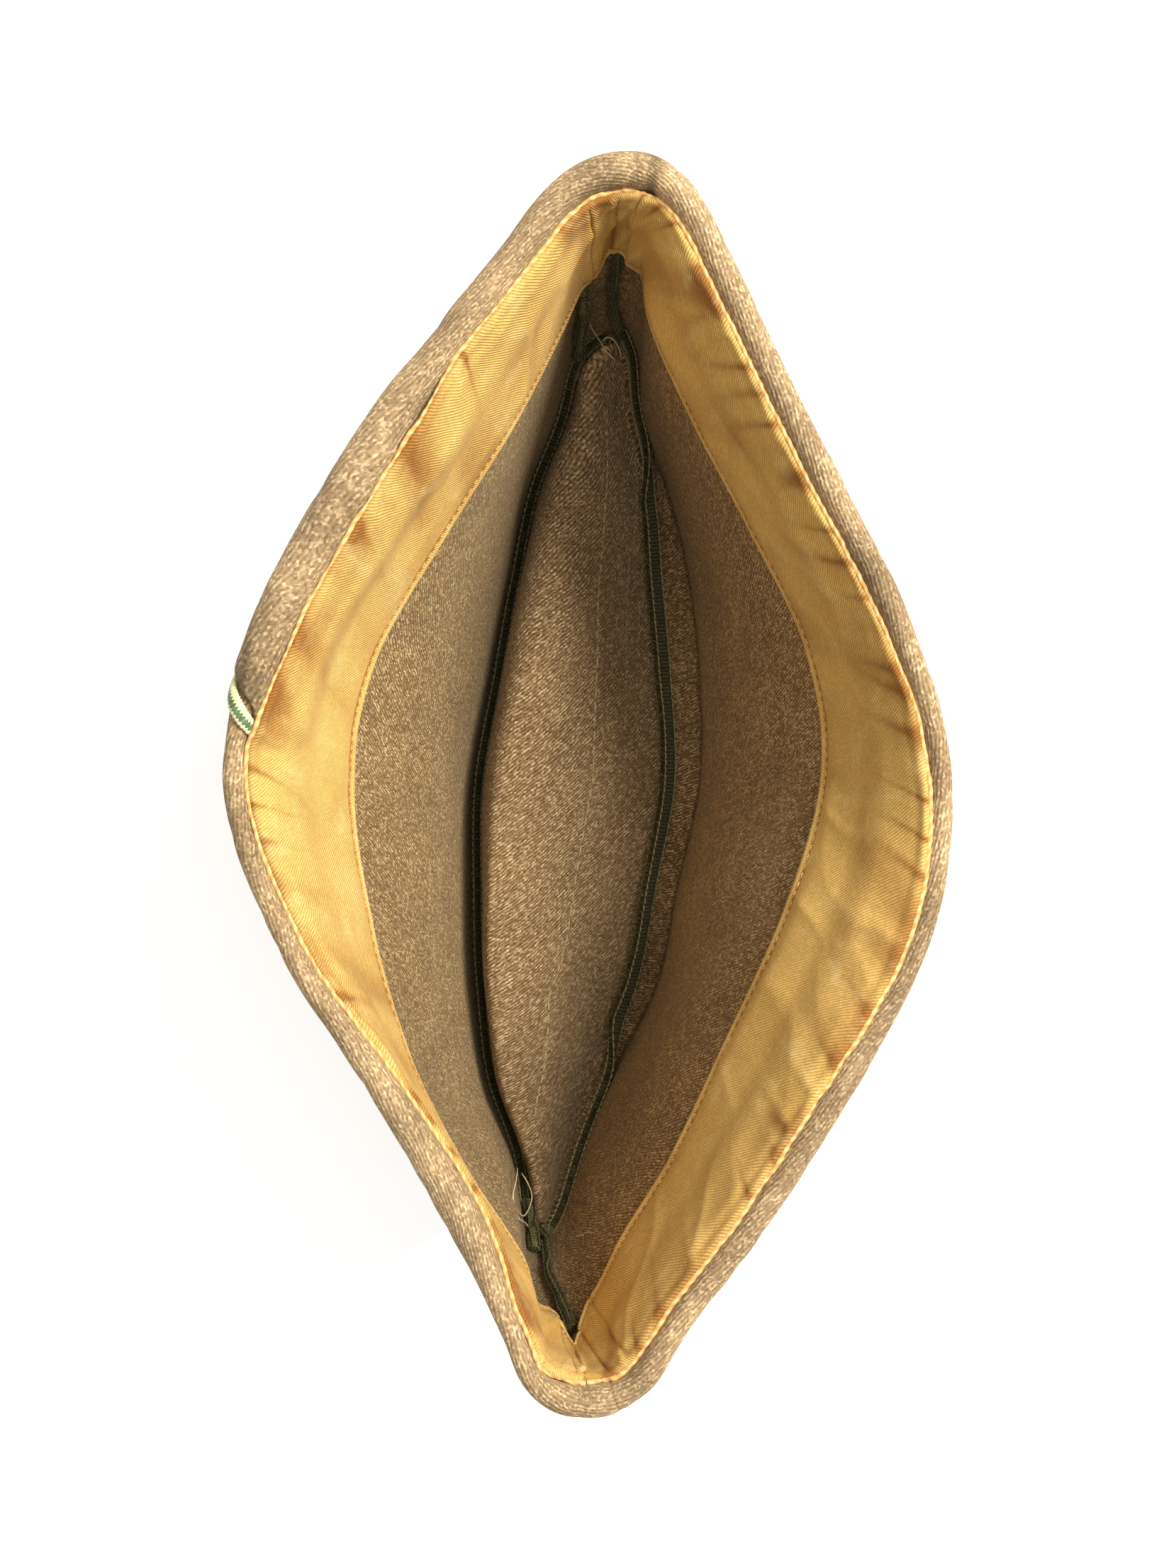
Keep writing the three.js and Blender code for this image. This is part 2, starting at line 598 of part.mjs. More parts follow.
piece('crown_left', crownPanel(HALF_TURN, STATIONS), wool(0x735c3c));
piece('crown_right', crownPanel(0, HALF_TURN), wool(0x5f442a));
piece('crown_gusset', crownGusset(), wool(0x8c704e));
piece('curtain_over', curtainOver(), wool(0x8a7350));
piece('curtain_under', curtainUnder(), wool(0x7f6948));
piece('sweatband', sweatband(), cotton);
piece('piping', cord(pipingPath(), PIPING / 2), cording);
piece('piping_under', cord(underPipingPath(), PIPING / 2), cording);
piece('seam_left', crownAllowance(HALF_TURN + 2, STATIONS - 2, 0), overlock);
piece('seam_right', crownAllowance(2, HALF_TURN - 2, 30), overlock);
piece('seam_back', endAllowance(HALF_TURN), overlock);
piece('seam_front', endAllowance(0), overlock);

export default cap;
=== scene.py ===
"""Garrison cap lying opened out with its opening up, seen from straight above.

Lengths are millimetres until a mesh is laid down. Stations run anticlockwise round the cap from the
front: 0 front, 6 right, 12 back, 18 left, 24 front again.
"""
import math

import bpy
import numpy as np
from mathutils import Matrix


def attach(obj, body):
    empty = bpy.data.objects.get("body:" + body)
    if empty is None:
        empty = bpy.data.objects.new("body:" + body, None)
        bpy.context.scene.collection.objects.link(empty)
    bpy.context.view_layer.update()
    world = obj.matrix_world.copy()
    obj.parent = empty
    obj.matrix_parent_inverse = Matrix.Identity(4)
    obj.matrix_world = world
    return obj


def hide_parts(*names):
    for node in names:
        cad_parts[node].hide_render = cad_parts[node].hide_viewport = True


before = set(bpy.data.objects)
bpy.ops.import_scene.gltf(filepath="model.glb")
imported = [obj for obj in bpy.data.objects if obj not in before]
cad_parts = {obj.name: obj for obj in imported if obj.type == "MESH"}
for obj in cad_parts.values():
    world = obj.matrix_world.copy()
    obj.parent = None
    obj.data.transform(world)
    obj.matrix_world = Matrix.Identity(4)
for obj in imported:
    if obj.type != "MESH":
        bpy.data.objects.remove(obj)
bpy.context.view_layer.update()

# Sizes of the cap, as in the part's source
LENGTH = 250.5
WIDTH = 143.6
HEIGHT = 118.0
CROWN_LENGTH = 224.0
CROWN_WIDTH = 63.4
TIP_RISE = 40.0
CLOTH = 1.1
BAND_CLOTH = 1.0
GAP = 0.3
RIM_ROLL = 7.4
BAND_WIDTH = 32.0
BAND_DROP = 1.0
LIP = 9.0
CURTAIN_DEPTH = 78.0
FOLD = 2.0
SEAM_TURN = 1.0
LEFT_TURN = 1.0
RIGHT_TURN = 5.0
CREST = 31.0
ALLOWANCE = 7.0
ALLOWANCE_CLOTH = 1.6
PIPING = 2.4
CORD_WIDE = 1.6
CORD_HIGH = 0.7
CORD_LOOP = 0.72
OVERLAP = 45.0
OVERLAP_STATION = 17.37
JOIN = 0.6
PINCH_STATION = 11.4
SWEEP = 2.0
SWEEP_END = 92.0
CORNER = 20.0
LAYER = CLOTH + GAP
LIFT = LAYER + GAP
STATION_RUN = math.pi * (LENGTH + WIDTH) / 2 * 0.97 / 24 * 1.3
WALL_REACH = 0.36
SWEEP_START = -3.5
CREST_SHARE = 0.6

# Sewing: radii of threads, pitches and lengths of stitches, places of rows
LOOP_THREAD = 0.2
LOOP_STEPS = 14
ROW_THREAD = 0.26
ROW_PITCH = 1.9
ROW_STITCH = 1.75
HEM_SHARE = 0.938
HEM_PITCH = 2.5
HEM_STITCH = 0.62
HEM_THREAD = 0.2
EDGE_THREAD = 0.18
EDGE_ROW = 1.4
LOOSE_THREAD = 0.17
LINT_THREAD = 0.1

# Counts of columns and rows
PANEL_COLUMNS = 300
GUSSET_COLUMNS = 280
GUSSET_ROWS = 90
BAND_COLUMNS = 960
BAND_ROWS = 46
STITCH_POINTS = 6

# Rim by angle: angle, middle, half width, lean left, lean right, roll left, roll right, curtain depth
RIM = np.array([
    (-90, -0.003, 0.620, -5, -5, 0.95, 0.95, 0.64),
    (-75, -0.002, 0.583, -3, 10, 0.76, 0.85, 0.70),
    (-60, 0.017, 0.511, 2, 20, 0.61, 0.80, 0.82),
    (-45, 0.048, 0.610, -11, 29, 1.10, 0.78, 0.93),
    (-30, 0.064, 0.753, -9, 47, 0.90, 0.85, 0.98),
    (-15, 0.042, 0.923, 17, 57, 0.62, 0.72, 1.00),
    (0, 0.000, 1.000, 36, 37, 0.57, 0.57, 1.00),
    (15, -0.007, 0.925, 28, 21, 0.86, 0.78, 1.00),
    (30, 0.004, 0.780, 34, 23, 0.96, 0.86, 0.98),
    (45, 0.034, 0.660, 37, 29, 1.00, 0.88, 0.93),
    (60, 0.076, 0.587, 22, 26, 1.00, 0.90, 0.82),
    (75, 0.096, 0.615, 10, 9, 1.00, 0.98, 0.70),
    (90, 0.110, 0.620, 1, 1, 1.05, 1.05, 0.64),
])

# Crown by angle: angle, middle, half width, rise, turn before the seam on the left and on the right
CROWN = np.array([
    (-90, -0.360, 0.631, 1.00, 0.0, 0.0),
    (-75, -0.360, 0.631, 0.80, 0.2, 0.0),
    (-60, -0.338, 0.587, 0.45, 0.5, 0.0),
    (-45, -0.334, 0.776, 0.15, 0.8, 0.1),
    (-30, -0.196, 0.924, 0.00, 1.0, 0.7),
    (-15, -0.120, 0.940, 0.00, 1.0, 0.8),
    (0, -0.016, 1.000, 0.00, 1.0, 1.0),
    (15, 0.063, 0.953, 0.00, 1.0, 1.2),
    (30, 0.095, 0.921, 0.00, 1.0, 1.1),
    (45, 0.085, 0.864, 0.15, 0.8, 0.4),
    (60, 0.091, 0.707, 0.45, 0.5, 0.0),
    (75, 0.139, 0.902, 0.80, 0.2, 0.0),
    (90, 0.215, 0.902, 1.00, 0.0, 0.0),
])

# Gusset sections from the back tip to the front tip: rise of the fold, place of the fold
GUSSET = np.array([
    (0.04, 0.50),
    (0.25, 0.42),
    (0.50, 0.34),
    (0.75, 0.28),
    (0.95, 0.22),
    (1.00, 0.17),
    (1.00, 0.11),
    (0.95, 0.08),
    (0.85, 0.08),
    (0.70, 0.10),
    (0.48, 0.16),
    (0.25, 0.32),
    (0.04, 0.50),
])

# Pleats of the sweatband: station, half width in stations, stand-off as a share of the band's width
PLEATS = np.array([
    (0.5, 0.5, 0.01),
    (11.4, 0.5, 0.03),
    (12.9, 0.5, 0.04),
    (23.4, 0.5, 0.03),
])

# Soft dents of the hanging cloth: height, length along the rim, length down, seed
DENTS = ((0.7, 41, 30, 3), (0.25, 15, 19, 4))

# Sharp folds of the band's ends: station at the sewn edge, station at the free edge, width and depth
FOLDS = np.array([
    (13.02, 13.10, 0.5, 1.2),
    (12.30, 12.36, 0.9, 0.8),
    (11.40, 11.72, 0.6, 1.3),
    (0.72, 0.20, 0.9, 1.0),
    (23.72, 23.50, 0.5, 1.0),
    (1.35, 0.95, 1.2, 0.8),
])

# Notches of the free edge: station, millimetres cut back
NOTCHES = np.array([
    (0.0, 12.0),
    (0.9, 0.0),
    (11.1, 0.0),
    (11.6, 1.4),
    (12.45, 5.4),
    (13.0, 2.4),
    (13.6, 0.0),
    (23.3, 0.0),
    (23.7, 7.0),
    (24.0, 12.0),
])

# Two sewn rows on the gusset: section and share across, for the light chain row and the dark topstitch
CHAIN = np.array([(2.0, 0.361), (4.4, 0.361), (5.2, 0.338), (5.95, 0.308), (6.8, 0.321), (7.4, 0.338),
                  (7.8, 0.375), (8.0, 0.405), (8.5, 0.398), (8.9, 0.401), (9.4, 0.462)])
TOPSTITCH = np.array([(2.4, 0.05), (3.0, 0.114), (3.8, 0.191), (4.4, 0.211), (4.95, 0.211)])

# Routes of the allowances up the end walls: station and depth, from below the band to the ridge
BACK_RIGHT = np.array([(12.2, 28), (12.15, 39), (12.32, 46), (12.2, 57), (11.85, 72)])
BACK_LEFT = np.array([(13.3, 30), (13.3, 41), (13.1, 53), (13.2, 62), (13.1, 79)])
FRONT_RIGHT = np.array([(0.14, 28), (0.08, 40), (0.05, 48), (0.24, 59), (0.6, 72)])
FRONT_LEFT = np.array([(23.3, 60), (23.2, 66), (22.9, 77), (22.7, 82)])

# Loose threads and lint, as places in millimetres
LOOSE = {
    "loop_of_thread": [(-17.4, -95.0, 40), (-17.5, -96.5, 46), (-17.9, -98.9, 53), (-16.6, -104.3, 47),
                       (-15.4, -105.5, 44), (-14.3, -104.2, 40), (-14.0, -102.1, 38), (-15.1, -99.1, 38),
                       (-16.5, -96.8, 38)],
    "tail_of_thread": [(-17.6, -101.0, 53), (-16.5, -103.7, 53.5), (-15.1, -106.7, 47), (-13.9, -109.1, 47),
                       (-13.7, -110.0, 51), (-14.0, -110.8, 53)],
    "thread_at_the_back": [(0.1, 110.6, 62), (0.25, 109.6, 60), (0.76, 108.6, 55), (3.0, 107.1, 48),
                           (4.75, 105.1, 46), (6.7, 103.3, 45)],
    "curl_at_the_back": [(3.3, 106.8, 49), (4.7, 107.6, 50), (6.2, 106.9, 50), (7.6, 105.4, 48),
                         (8.0, 103.7, 46)],
    "lint": [(-3.1, -106.0, 60), (-1.6, -104.9, 63), (-0.25, -103.5, 65), (1.3, -102.8, 68),
             (2.3, -101.2, 70)],
}


def ease(x):
    """Smooth step: three times the square less twice the cube of x, held between 0 and 1."""
    x = np.clip(x, 0.0, 1.0)
    return x * x * (3 - 2 * x)


def bump(x, width):
    """Rounded hump of height 1 at x = 0: the square of one less the squared share of the width."""
    return np.clip(1 - (x / width) ** 2, 0, 1) ** 2


def through(a, b, c, d, t):
    """Share t of the way from b to c on a uniform Catmull-Rom curve."""
    square = (2 * a - 5 * b + 4 * c - d) * t ** 2
    return (2 * b + (c - a) * t + square + (3 * b - a - 3 * c + d) * t ** 3) / 2


def cubic(a, b, c, d, t):
    """Share t of a cubic curve with four poles."""
    t = np.asarray(t, float)[..., None]
    return a * (1 - t) ** 3 + 3 * b * t * (1 - t) ** 2 + 3 * c * t ** 2 * (1 - t) + d * t ** 3


def run_of(path):
    """Length along a path up to each of its points."""
    steps = np.linalg.norm(np.diff(path, axis=-2), axis=-1)
    return np.concatenate([np.zeros(steps.shape[:-1] + (1,)), np.cumsum(steps, -1)], -1)


def carried(rows, run, places):
    """Rows of numbers known at some lengths, read off at others."""
    return np.stack([np.interp(places, run, column) for column in rows.T], -1)


def smoothed(values, span):
    """Running mean over a span of places, weighted by a raised cosine."""
    weights = np.hanning(span) / np.hanning(span).sum()
    return np.convolve(np.pad(values, span // 2, mode="edge"), weights, mode="valid")


def ring(table, right, left=None):
    """One column read up the right side of the cap and down the left side."""
    left = right if left is None else left
    return np.concatenate([table[:, right], table[-2:0:-1, left]])


def at(values, u):
    """Value of a ring at station u, on a uniform Catmull-Rom curve through its rows."""
    n = len(values)
    u = np.asarray(u, float) % n
    i = np.floor(u).astype(int)
    t = u - i
    return through(*(values[(i + k) % n] for k in (-1, 0, 1, 2)), t)


rim_middle = ring(RIM, 1)
rim_half = ring(RIM, 2)
wall_lean = ring(RIM, 4, 3)
rim_roll = ring(RIM, 6, 5)
hanging = ring(RIM, 7)
crown_middle = ring(CROWN, 1)
crown_half = ring(CROWN, 2)
tip_rise = ring(CROWN, 3)
seam_turn = ring(CROWN, 5, 4)
crest_rise = ring(GUSSET, 0)
crest_place = ring(GUSSET, 1)


def hashed(i, j, seed):
    """Fixed number from 0 to 1 for a lattice corner: the fraction of a large sine."""
    return (np.sin(i * 127.1 + j * 311.7 + seed * 74.7) * 43758.5453) % 1.0


def waver(x, y, seed):
    """Smooth unevenness from -1 to 1 with lumps one unit wide: hashed corners, eased between."""
    i, j = np.floor(x), np.floor(y)
    a, b = ease(x - i), ease(y - j)
    near = hashed(i, j, seed) * (1 - a) + hashed(i + 1, j, seed) * a
    far = hashed(i, j + 1, seed) * (1 - a) + hashed(i + 1, j + 1, seed) * a
    return 2 * (near * (1 - b) + far * b) - 1


def angle_of(u):
    return np.radians(15 * np.asarray(u, float) - 90)


def rim_plan(u):
    """Plan outline of the rim: middle plus half width times the cosine, and the sine of the length."""
    x = at(rim_middle, u) + at(rim_half, u) * np.cos(angle_of(u))
    return np.stack([x * WIDTH / 2, np.sin(angle_of(u)) * LENGTH / 2], -1)


def crown_plan(u):
    """Plan outline of the ridges, made as the rim's is."""
    x = at(crown_middle, u) + at(crown_half, u) * np.cos(angle_of(u))
    return np.stack([x * CROWN_WIDTH / 2, np.sin(angle_of(u)) * CROWN_LENGTH / 2], -1)


def inward(plan, u):
    """Unit vector from an outline towards the inside: its direction turned a quarter left."""
    d = plan(u + 1e-3) - plan(u - 1e-3)
    d = d / np.linalg.norm(d, axis=-1, keepdims=True)
    return np.stack([-d[..., 1], d[..., 0]], -1)


def raised(plan, z):
    """Plan points lifted to height z."""
    z = np.broadcast_to(np.asarray(z, float)[..., None], plan.shape[:-1] + (1,))
    return np.concatenate([plan, z], -1)


def unit(v):
    return v / np.maximum(np.linalg.norm(v, axis=-1, keepdims=True), 1e-9)


def roll_radius(u):
    return np.maximum(LAYER, (at(rim_roll, u) * RIM_ROLL - 2 * CLOTH) / 2)


def roll_quarter(u):
    return roll_radius(u) * np.pi / 2


def crown_rise(u):
    return np.maximum(0, at(tip_rise, u)) * TIP_RISE


def curtain_depth(u):
    return at(hanging, u) * CURTAIN_DEPTH


def wall_poles(u):
    """Four poles of the wall's curve: roll's axis, a lean inwards, a stand on the ridge, the ridge."""
    side = inward(rim_plan, u)
    lean = np.radians(at(wall_lean, u))
    inset = roll_radius(u) + CLOTH / 2
    top = raised(rim_plan(u) + side * inset[..., None], HEIGHT - inset)
    foot = raised(crown_plan(u), crown_rise(u) + CLOTH / 2 + FOLD)
    reach = WALL_REACH * np.linalg.norm(top - foot, axis=-1)[..., None]
    bend = top + raised(side * np.sin(lean)[..., None], -np.cos(lean)) * reach
    stand = foot + np.array([0, 0, 0.9]) * reach
    return top, bend, stand, foot


def wall(u, t):
    """Point of the wall at share t of its cubic curve."""
    return cubic(*wall_poles(u), t)


def wall_length(u):
    """Length of the wall's curve, as sixteen chords."""
    steps = [wall(u, np.full(np.shape(u), k / 16)) for k in range(17)]
    return sum(np.linalg.norm(b - a, axis=-1) for a, b in zip(steps, steps[1:]))


def wall_normal(u, t):
    """Outward unit normal: the way down crossed with the way along."""
    along = wall(u + 0.01, t) - wall(u - 0.01, t)
    down = wall(u, t + 1e-3) - wall(u, t - 1e-3)
    return unit(np.cross(down, along))


dense = np.linspace(0, 24, 2401)
rim_lengths = run_of(rim_plan(dense))


def rim_run(u):
    """Length along the rim from the front, in millimetres, going on past a whole turn."""
    u = np.asarray(u, float)
    return np.interp(u % 24, dense, rim_lengths) + np.floor(u / 24) * rim_lengths[-1]


def wall_dents(u, s):
    """Soft dents of the hanging cloth, outwards, below the band and fading out at the ridge."""
    run = rim_run(u % 24)
    fade = ease((s - 30) / 16) * ease((100 - s) / 20)
    return fade * sum(high * waver(run / long, s / deep, seed) for high, long, deep, seed in DENTS)


def together(*values):
    """Values as arrays of one shape."""
    return np.broadcast_arrays(*(np.asarray(value, float) for value in values))


def wall_point(u, s, out):
    """Point of the wall s down its curve, set off outwards, with the cloth's dents."""
    u, s, out = together(u, s, out)
    t = s / wall_length(u)
    return wall(u, t) + wall_normal(u, t) * (out + wall_dents(u, s))[..., None]


def outside(u, s):
    """Distance of the curtain outside the wall: the roll's radius easing to one layer."""
    return LAYER + (roll_radius(u) - LAYER) * (1 - ease(s / (2 * LIP)))


def inside(u, s):
    """Distance of the turned-in lip inside the wall."""
    return LAYER + (roll_radius(u) - LAYER) * (1 - ease(s / LIP))


def curtain_point(u, q, out):
    """Point of the curtain q from the top of its roll: inside lip, half circle of the roll, outside."""
    u, q, out = together(u, q, out)
    quarter = roll_quarter(u)
    down = np.maximum(q - quarter, 0)
    back = np.maximum(-q - quarter, 0)
    outer = wall_point(u, down, outside(u, down) + out)
    inner = wall_point(u, back, -inside(u, back) - out)
    none = np.zeros_like(u)
    poles = wall_poles(u)
    up = unit(poles[0] - poles[1])
    turn = (1 - q / quarter) * np.pi / 2
    reach = (roll_radius(u) + out)[..., None]
    around = wall_normal(u, none) * np.cos(turn)[..., None] + up * np.sin(turn)[..., None]
    rolled = wall_point(u, none, none) + reach * around
    return np.where((q > quarter)[..., None], outer, np.where((q < -quarter)[..., None], inner, rolled))


def swept_edge(q):
    """Station of the over-layer's edge: it runs back along the rim as it goes down the outside, and
    goes straight down on the inside."""
    q = np.maximum(q, SWEEP_START)
    return OVERLAP_STATION - SWEEP * q * (1 - q / (2 * SWEEP_END)) / STATION_RUN


def over_edge(q):
    """The swept edge, rounded at its lower corner by a quarter circle."""
    beyond = np.clip(q - (CURTAIN_DEPTH - CORNER), 0, CORNER)
    return swept_edge(q) - (CORNER - np.sqrt(CORNER ** 2 - beyond ** 2)) / STATION_RUN


def under_edge(q):
    return swept_edge(q) - OVERLAP / STATION_RUN


def over_lift(u, q):
    return LIFT * ease((u - under_edge(q) + 0.9) / 0.6)


def seam_shift(u, side):
    """Station moved from an end seam by a hair, so that the sewn edges meet."""
    speed = np.linalg.norm(crown_plan(u + 1e-3) - crown_plan(u - 1e-3)) / 2e-3
    return u + side * 0.04 / speed


def seam_reach(u):
    """Distance from a ridge to its crown seam."""
    extra = np.where((u > 12) & (u < 24), LEFT_TURN, RIGHT_TURN)
    return FOLD + SEAM_TURN + extra * np.maximum(0, at(seam_turn, u))


def crowded(start, end, count, radius):
    """Even places from start to end, crowded within a radius of both ends for a rounded edge."""
    close = radius * (1 - np.cos(np.linspace(0, np.pi / 2, 5)))
    even = np.linspace(start, end, count)
    kept = even[(even > start + 1.3 * radius) & (even < end - 1.3 * radius)]
    return np.concatenate([start + close, kept, (end - close)[::-1]])


def rounded(distance, radius):
    """Share of the full thickness at a distance from an edge with a half-round section."""
    d = np.clip(distance / radius, 0, 1)
    return np.sqrt(np.clip(1 - (1 - d) ** 2, 0.02, 1))


# Meshes


def lay_mesh(name, points, faces, face_uv, tones=None):
    """Mesh from points in millimetres and four-cornered faces turned outwards, with its map and tones."""
    a, b, c, d = (points[faces[:, k]] for k in range(4))
    inner = np.einsum("ij,ij->i", a, np.cross(b, c)) + np.einsum("ij,ij->i", a, np.cross(c, d))
    if inner.sum() < 0:
        faces = faces[:, ::-1]
        face_uv = face_uv[:, ::-1]
    mesh = bpy.data.meshes.new(name)
    mesh.vertices.add(len(points))
    mesh.vertices.foreach_set("co", (points / 1000).astype(np.float32).ravel())
    mesh.loops.add(faces.size)
    mesh.loops.foreach_set("vertex_index", faces.astype(np.int32).ravel())
    mesh.polygons.add(len(faces))
    mesh.polygons.foreach_set("loop_start", np.arange(0, faces.size, 4, dtype=np.int32))
    mesh.update(calc_edges=True)
    mesh.validate()
    mesh.polygons.foreach_set("use_smooth", np.ones(len(mesh.polygons), bool))
    layer = mesh.uv_layers.new(name="cut")
    layer.uv.foreach_set("vector", (face_uv / 100).astype(np.float32).ravel())
    if tones is not None:
        mesh.attributes.new("tone", "FLOAT", "POINT").data.foreach_set("value", tones.astype(np.float32))
    piece = bpy.data.objects.new(name, mesh)
    bpy.context.scene.collection.objects.link(piece)
    return piece


def grid_normals(grid, loop):
    """Unit normals of a grid of points, from the differences along its columns and rows."""
    if loop:
        along = np.roll(grid, -1, 0) - np.roll(grid, 1, 0)
    else:
        along = np.gradient(grid, axis=0)
    across = np.gradient(grid, axis=1)
    return unit(np.cross(along, across))


def cloth(name, middle, thickness, uv, tone, loop=False):
    """Closed sheet of cloth: the middle surface set off by half its thickness along its normals both
    ways, joined round its edges. uv has one more column than a looped grid, for the closing cells.
    tone is 0.5 where the cloth has its plain colour, less where it is darker, more where it is paler."""
    normals = grid_normals(middle, loop)
    half = np.broadcast_to(np.asarray(thickness, float), middle.shape[:2])[..., None] / 2
    points = np.concatenate([(middle + side * normals * half).reshape(-1, 3) for side in (1, -1)])
    columns, rows = middle.shape[:2]
    cells = columns if loop else columns - 1
    i, j = np.meshgrid(np.arange(cells), np.arange(rows - 1), indexing="ij")
    ci = np.stack([i, i + 1, i + 1, i], -1).reshape(-1, 4)
    cj = np.stack([j, j, j + 1, j + 1], -1).reshape(-1, 4)
    front = (ci % columns) * rows + cj
    back = front[:, ::-1] + columns * rows
    quads = [front, back]
    maps = [uv[ci, cj], uv[ci, cj][:, ::-1]]
    i, j = np.arange(cells + 1), np.arange(rows)
    edges = [(i, 0 * i, 1), (i, 0 * i + rows - 1, -1)]
    if not loop:
        edges += [(0 * j, j, -1), (0 * j + cells, j, 1)]
    for i, j, way in edges:
        border = (i % columns) * rows + j
        near, far = border[:-1], border[1:]
        start, end = uv[i, j][:-1], uv[i, j][1:]
        quads.append(np.stack([near, near + columns * rows, far + columns * rows, far], -1)[:, ::way])
        maps.append(np.stack([start, start, end, end], 1)[:, ::way])
    tones = np.tile(np.clip(tone, 0, 1).ravel(), 2)
    return lay_mesh(name, points, np.concatenate(quads), np.concatenate(maps), tones)


def tubes(name, paths, upwards, radius, wide=1.0, flat=1.0, sides=6):
    """Closed tubes along many paths at once. paths is tubes by points by three, upwards a direction at
    each point, radius a value at each point. The section is an oval, wide across and flat upwards."""
    paths = np.asarray(paths, float)
    count, steps = paths.shape[:2]
    along = unit(np.gradient(paths, axis=1))
    side = unit(np.cross(along, np.broadcast_to(upwards, paths.shape)))
    up = np.cross(side, along)
    a = 2 * np.pi * (np.arange(sides)[:, None] + 0.5) / sides
    reach = np.broadcast_to(np.asarray(radius, float), (count, steps))[..., None, None]
    ringed = side[:, :, None] * np.cos(a) * wide + up[:, :, None] * np.sin(a) * flat
    points = (paths[:, :, None] + ringed * reach).reshape(-1, 3)
    t, i, k = np.meshgrid(np.arange(count), np.arange(steps - 1), np.arange(sides), indexing="ij")
    base = (t * steps + i) * sides
    here, beside = base + k, base + (k + 1) % sides
    quads = np.stack([here, beside, beside + sides, here + sides], -1)
    length = run_of(paths)
    u0, u1 = length[t, i], length[t, i + 1]
    v0, v1 = k / sides, (k + 1) / sides
    maps = np.stack([np.stack(corner, -1) for corner in ((u0, v0), (u0, v1), (u1, v1), (u1, v0))], -2)
    start = (np.arange(count) * steps) * sides
    end = start + (steps - 1) * sides
    caps = []
    for m in range(1, sides // 2):
        first, second = 2 * m - 1, 2 * m
        caps.append(np.stack([start, start + second + 1, start + second, start + first], -1))
        caps.append(np.stack([end, end + first, end + second, end + second + 1], -1))
    caps = np.concatenate(caps)
    quads = np.concatenate([quads.reshape(-1, 4), caps])
    maps = np.concatenate([maps.reshape(-1, 4, 2), np.zeros((len(caps), 4, 2))])
    return lay_mesh(name, points, quads, maps)


def stitches(name, surface, u, s, out, thread, rise):
    """Row of single stitches. u and s are stitches by two, the ends on the surface; each thread leaves
    the cloth, rises over it by a half sine and goes in again."""
    share = np.linspace(0, 1, STITCH_POINTS)
    us = u[:, :1] + (u[:, 1:] - u[:, :1]) * share
    ss = s[:, :1] + (s[:, 1:] - s[:, :1]) * share
    lift = rise * np.sin(np.pi * share) - 0.35 * thread
    path = surface(us, ss, out * (1 + 0 * us) + np.sign(out) * lift)
    ahead = surface(us, ss, out * (1 + 0 * us) + np.sign(out) * (lift + 0.5))
    taper = thread * (0.55 + 0.45 * np.sin(np.pi * share)) ** 0.5
    return tubes(name, path, unit(ahead - path), np.broadcast_to(taper, us.shape))


# Finishes


def tint(code):
    """Linear colour from a six-figure sRGB code."""
    parts = [int(code[k:k + 2], 16) / 255 for k in (0, 2, 4)]
    return tuple(p / 12.92 if p <= 0.04045 else ((p + 0.055) / 1.055) ** 2.4 for p in parts) + (1.0,)


def add(tree, kind, inputs=None, **settings):
    """New node with its settings; an input is a number, a colour or another node's output."""
    made = tree.nodes.new(kind)
    for key, value in settings.items():
        setattr(made, key, value)
    for key, value in (inputs or {}).items():
        if isinstance(value, bpy.types.NodeSocket):
            tree.links.new(value, made.inputs[key])
        else:
            made.inputs[key].default_value = value
    return made


def calc(tree, operation, a, b=0.0, c=0.0):
    return add(tree, "ShaderNodeMath", {0: a, 1: b, 2: c}, operation=operation).outputs[0]


def blend(tree, factor, a, b, how="MIX"):
    return add(tree, "ShaderNodeMix", {0: factor, 6: a, 7: b}, data_type="RGBA", blend_type=how).outputs[2]


def passing(tree, shade, value, steps):
    """A colour that passes to further tints: low value, high value, share reached, tint."""
    for low, high, share, code in steps:
        shade = blend(tree, spread(tree, value, low, high, 0.0, share), shade, tint(code))
    return shade


def spread(tree, value, low, high, to_low=0.0, to_high=1.0):
    """Value between low and high stretched to a new range and clamped."""
    inputs = {"Value": value, "From Min": low, "From Max": high, "To Min": to_low, "To Max": to_high}
    return add(tree, "ShaderNodeMapRange", inputs, interpolation_type="SMOOTHSTEP").outputs[0]


def flat_place(tree):
    """Place on the cut cloth in millimetres."""
    place = add(tree, "ShaderNodeUVMap", uv_map="cut").outputs[0]
    return add(tree, "ShaderNodeVectorMath", {0: place, "Scale": 100.0}, operation="SCALE").outputs[0]


def along_line(tree, place, line):
    """Distance of the place along a direction on the cloth."""
    inputs = {0: place, 1: (line[0], line[1], 0)}
    return add(tree, "ShaderNodeVectorMath", inputs, operation="DOT_PRODUCT").outputs["Value"]


def noise(tree, place, scale, detail=2.0, roughness=0.5):
    inputs = {"Vector": place, "Scale": scale, "Detail": detail, "Roughness": roughness}
    return add(tree, "ShaderNodeTexNoise", inputs).outputs[0]


def tone_of(tree):
    return add(tree, "ShaderNodeAttribute", attribute_name="tone").outputs["Fac"]


def greyed(tree, shade, amount):
    """Colour multiplied by a value."""
    grey = add(tree, "ShaderNodeCombineColor", {0: amount, 1: amount, 2: amount}).outputs[0]
    return blend(tree, 1.0, shade, grey, "MULTIPLY")


def dappled(tree, place, scale, low, high):
    """Two tints in soft patches."""
    return passing(tree, tint(low), noise(tree, place, scale), [(0.3, 0.7, 1.0, high)])


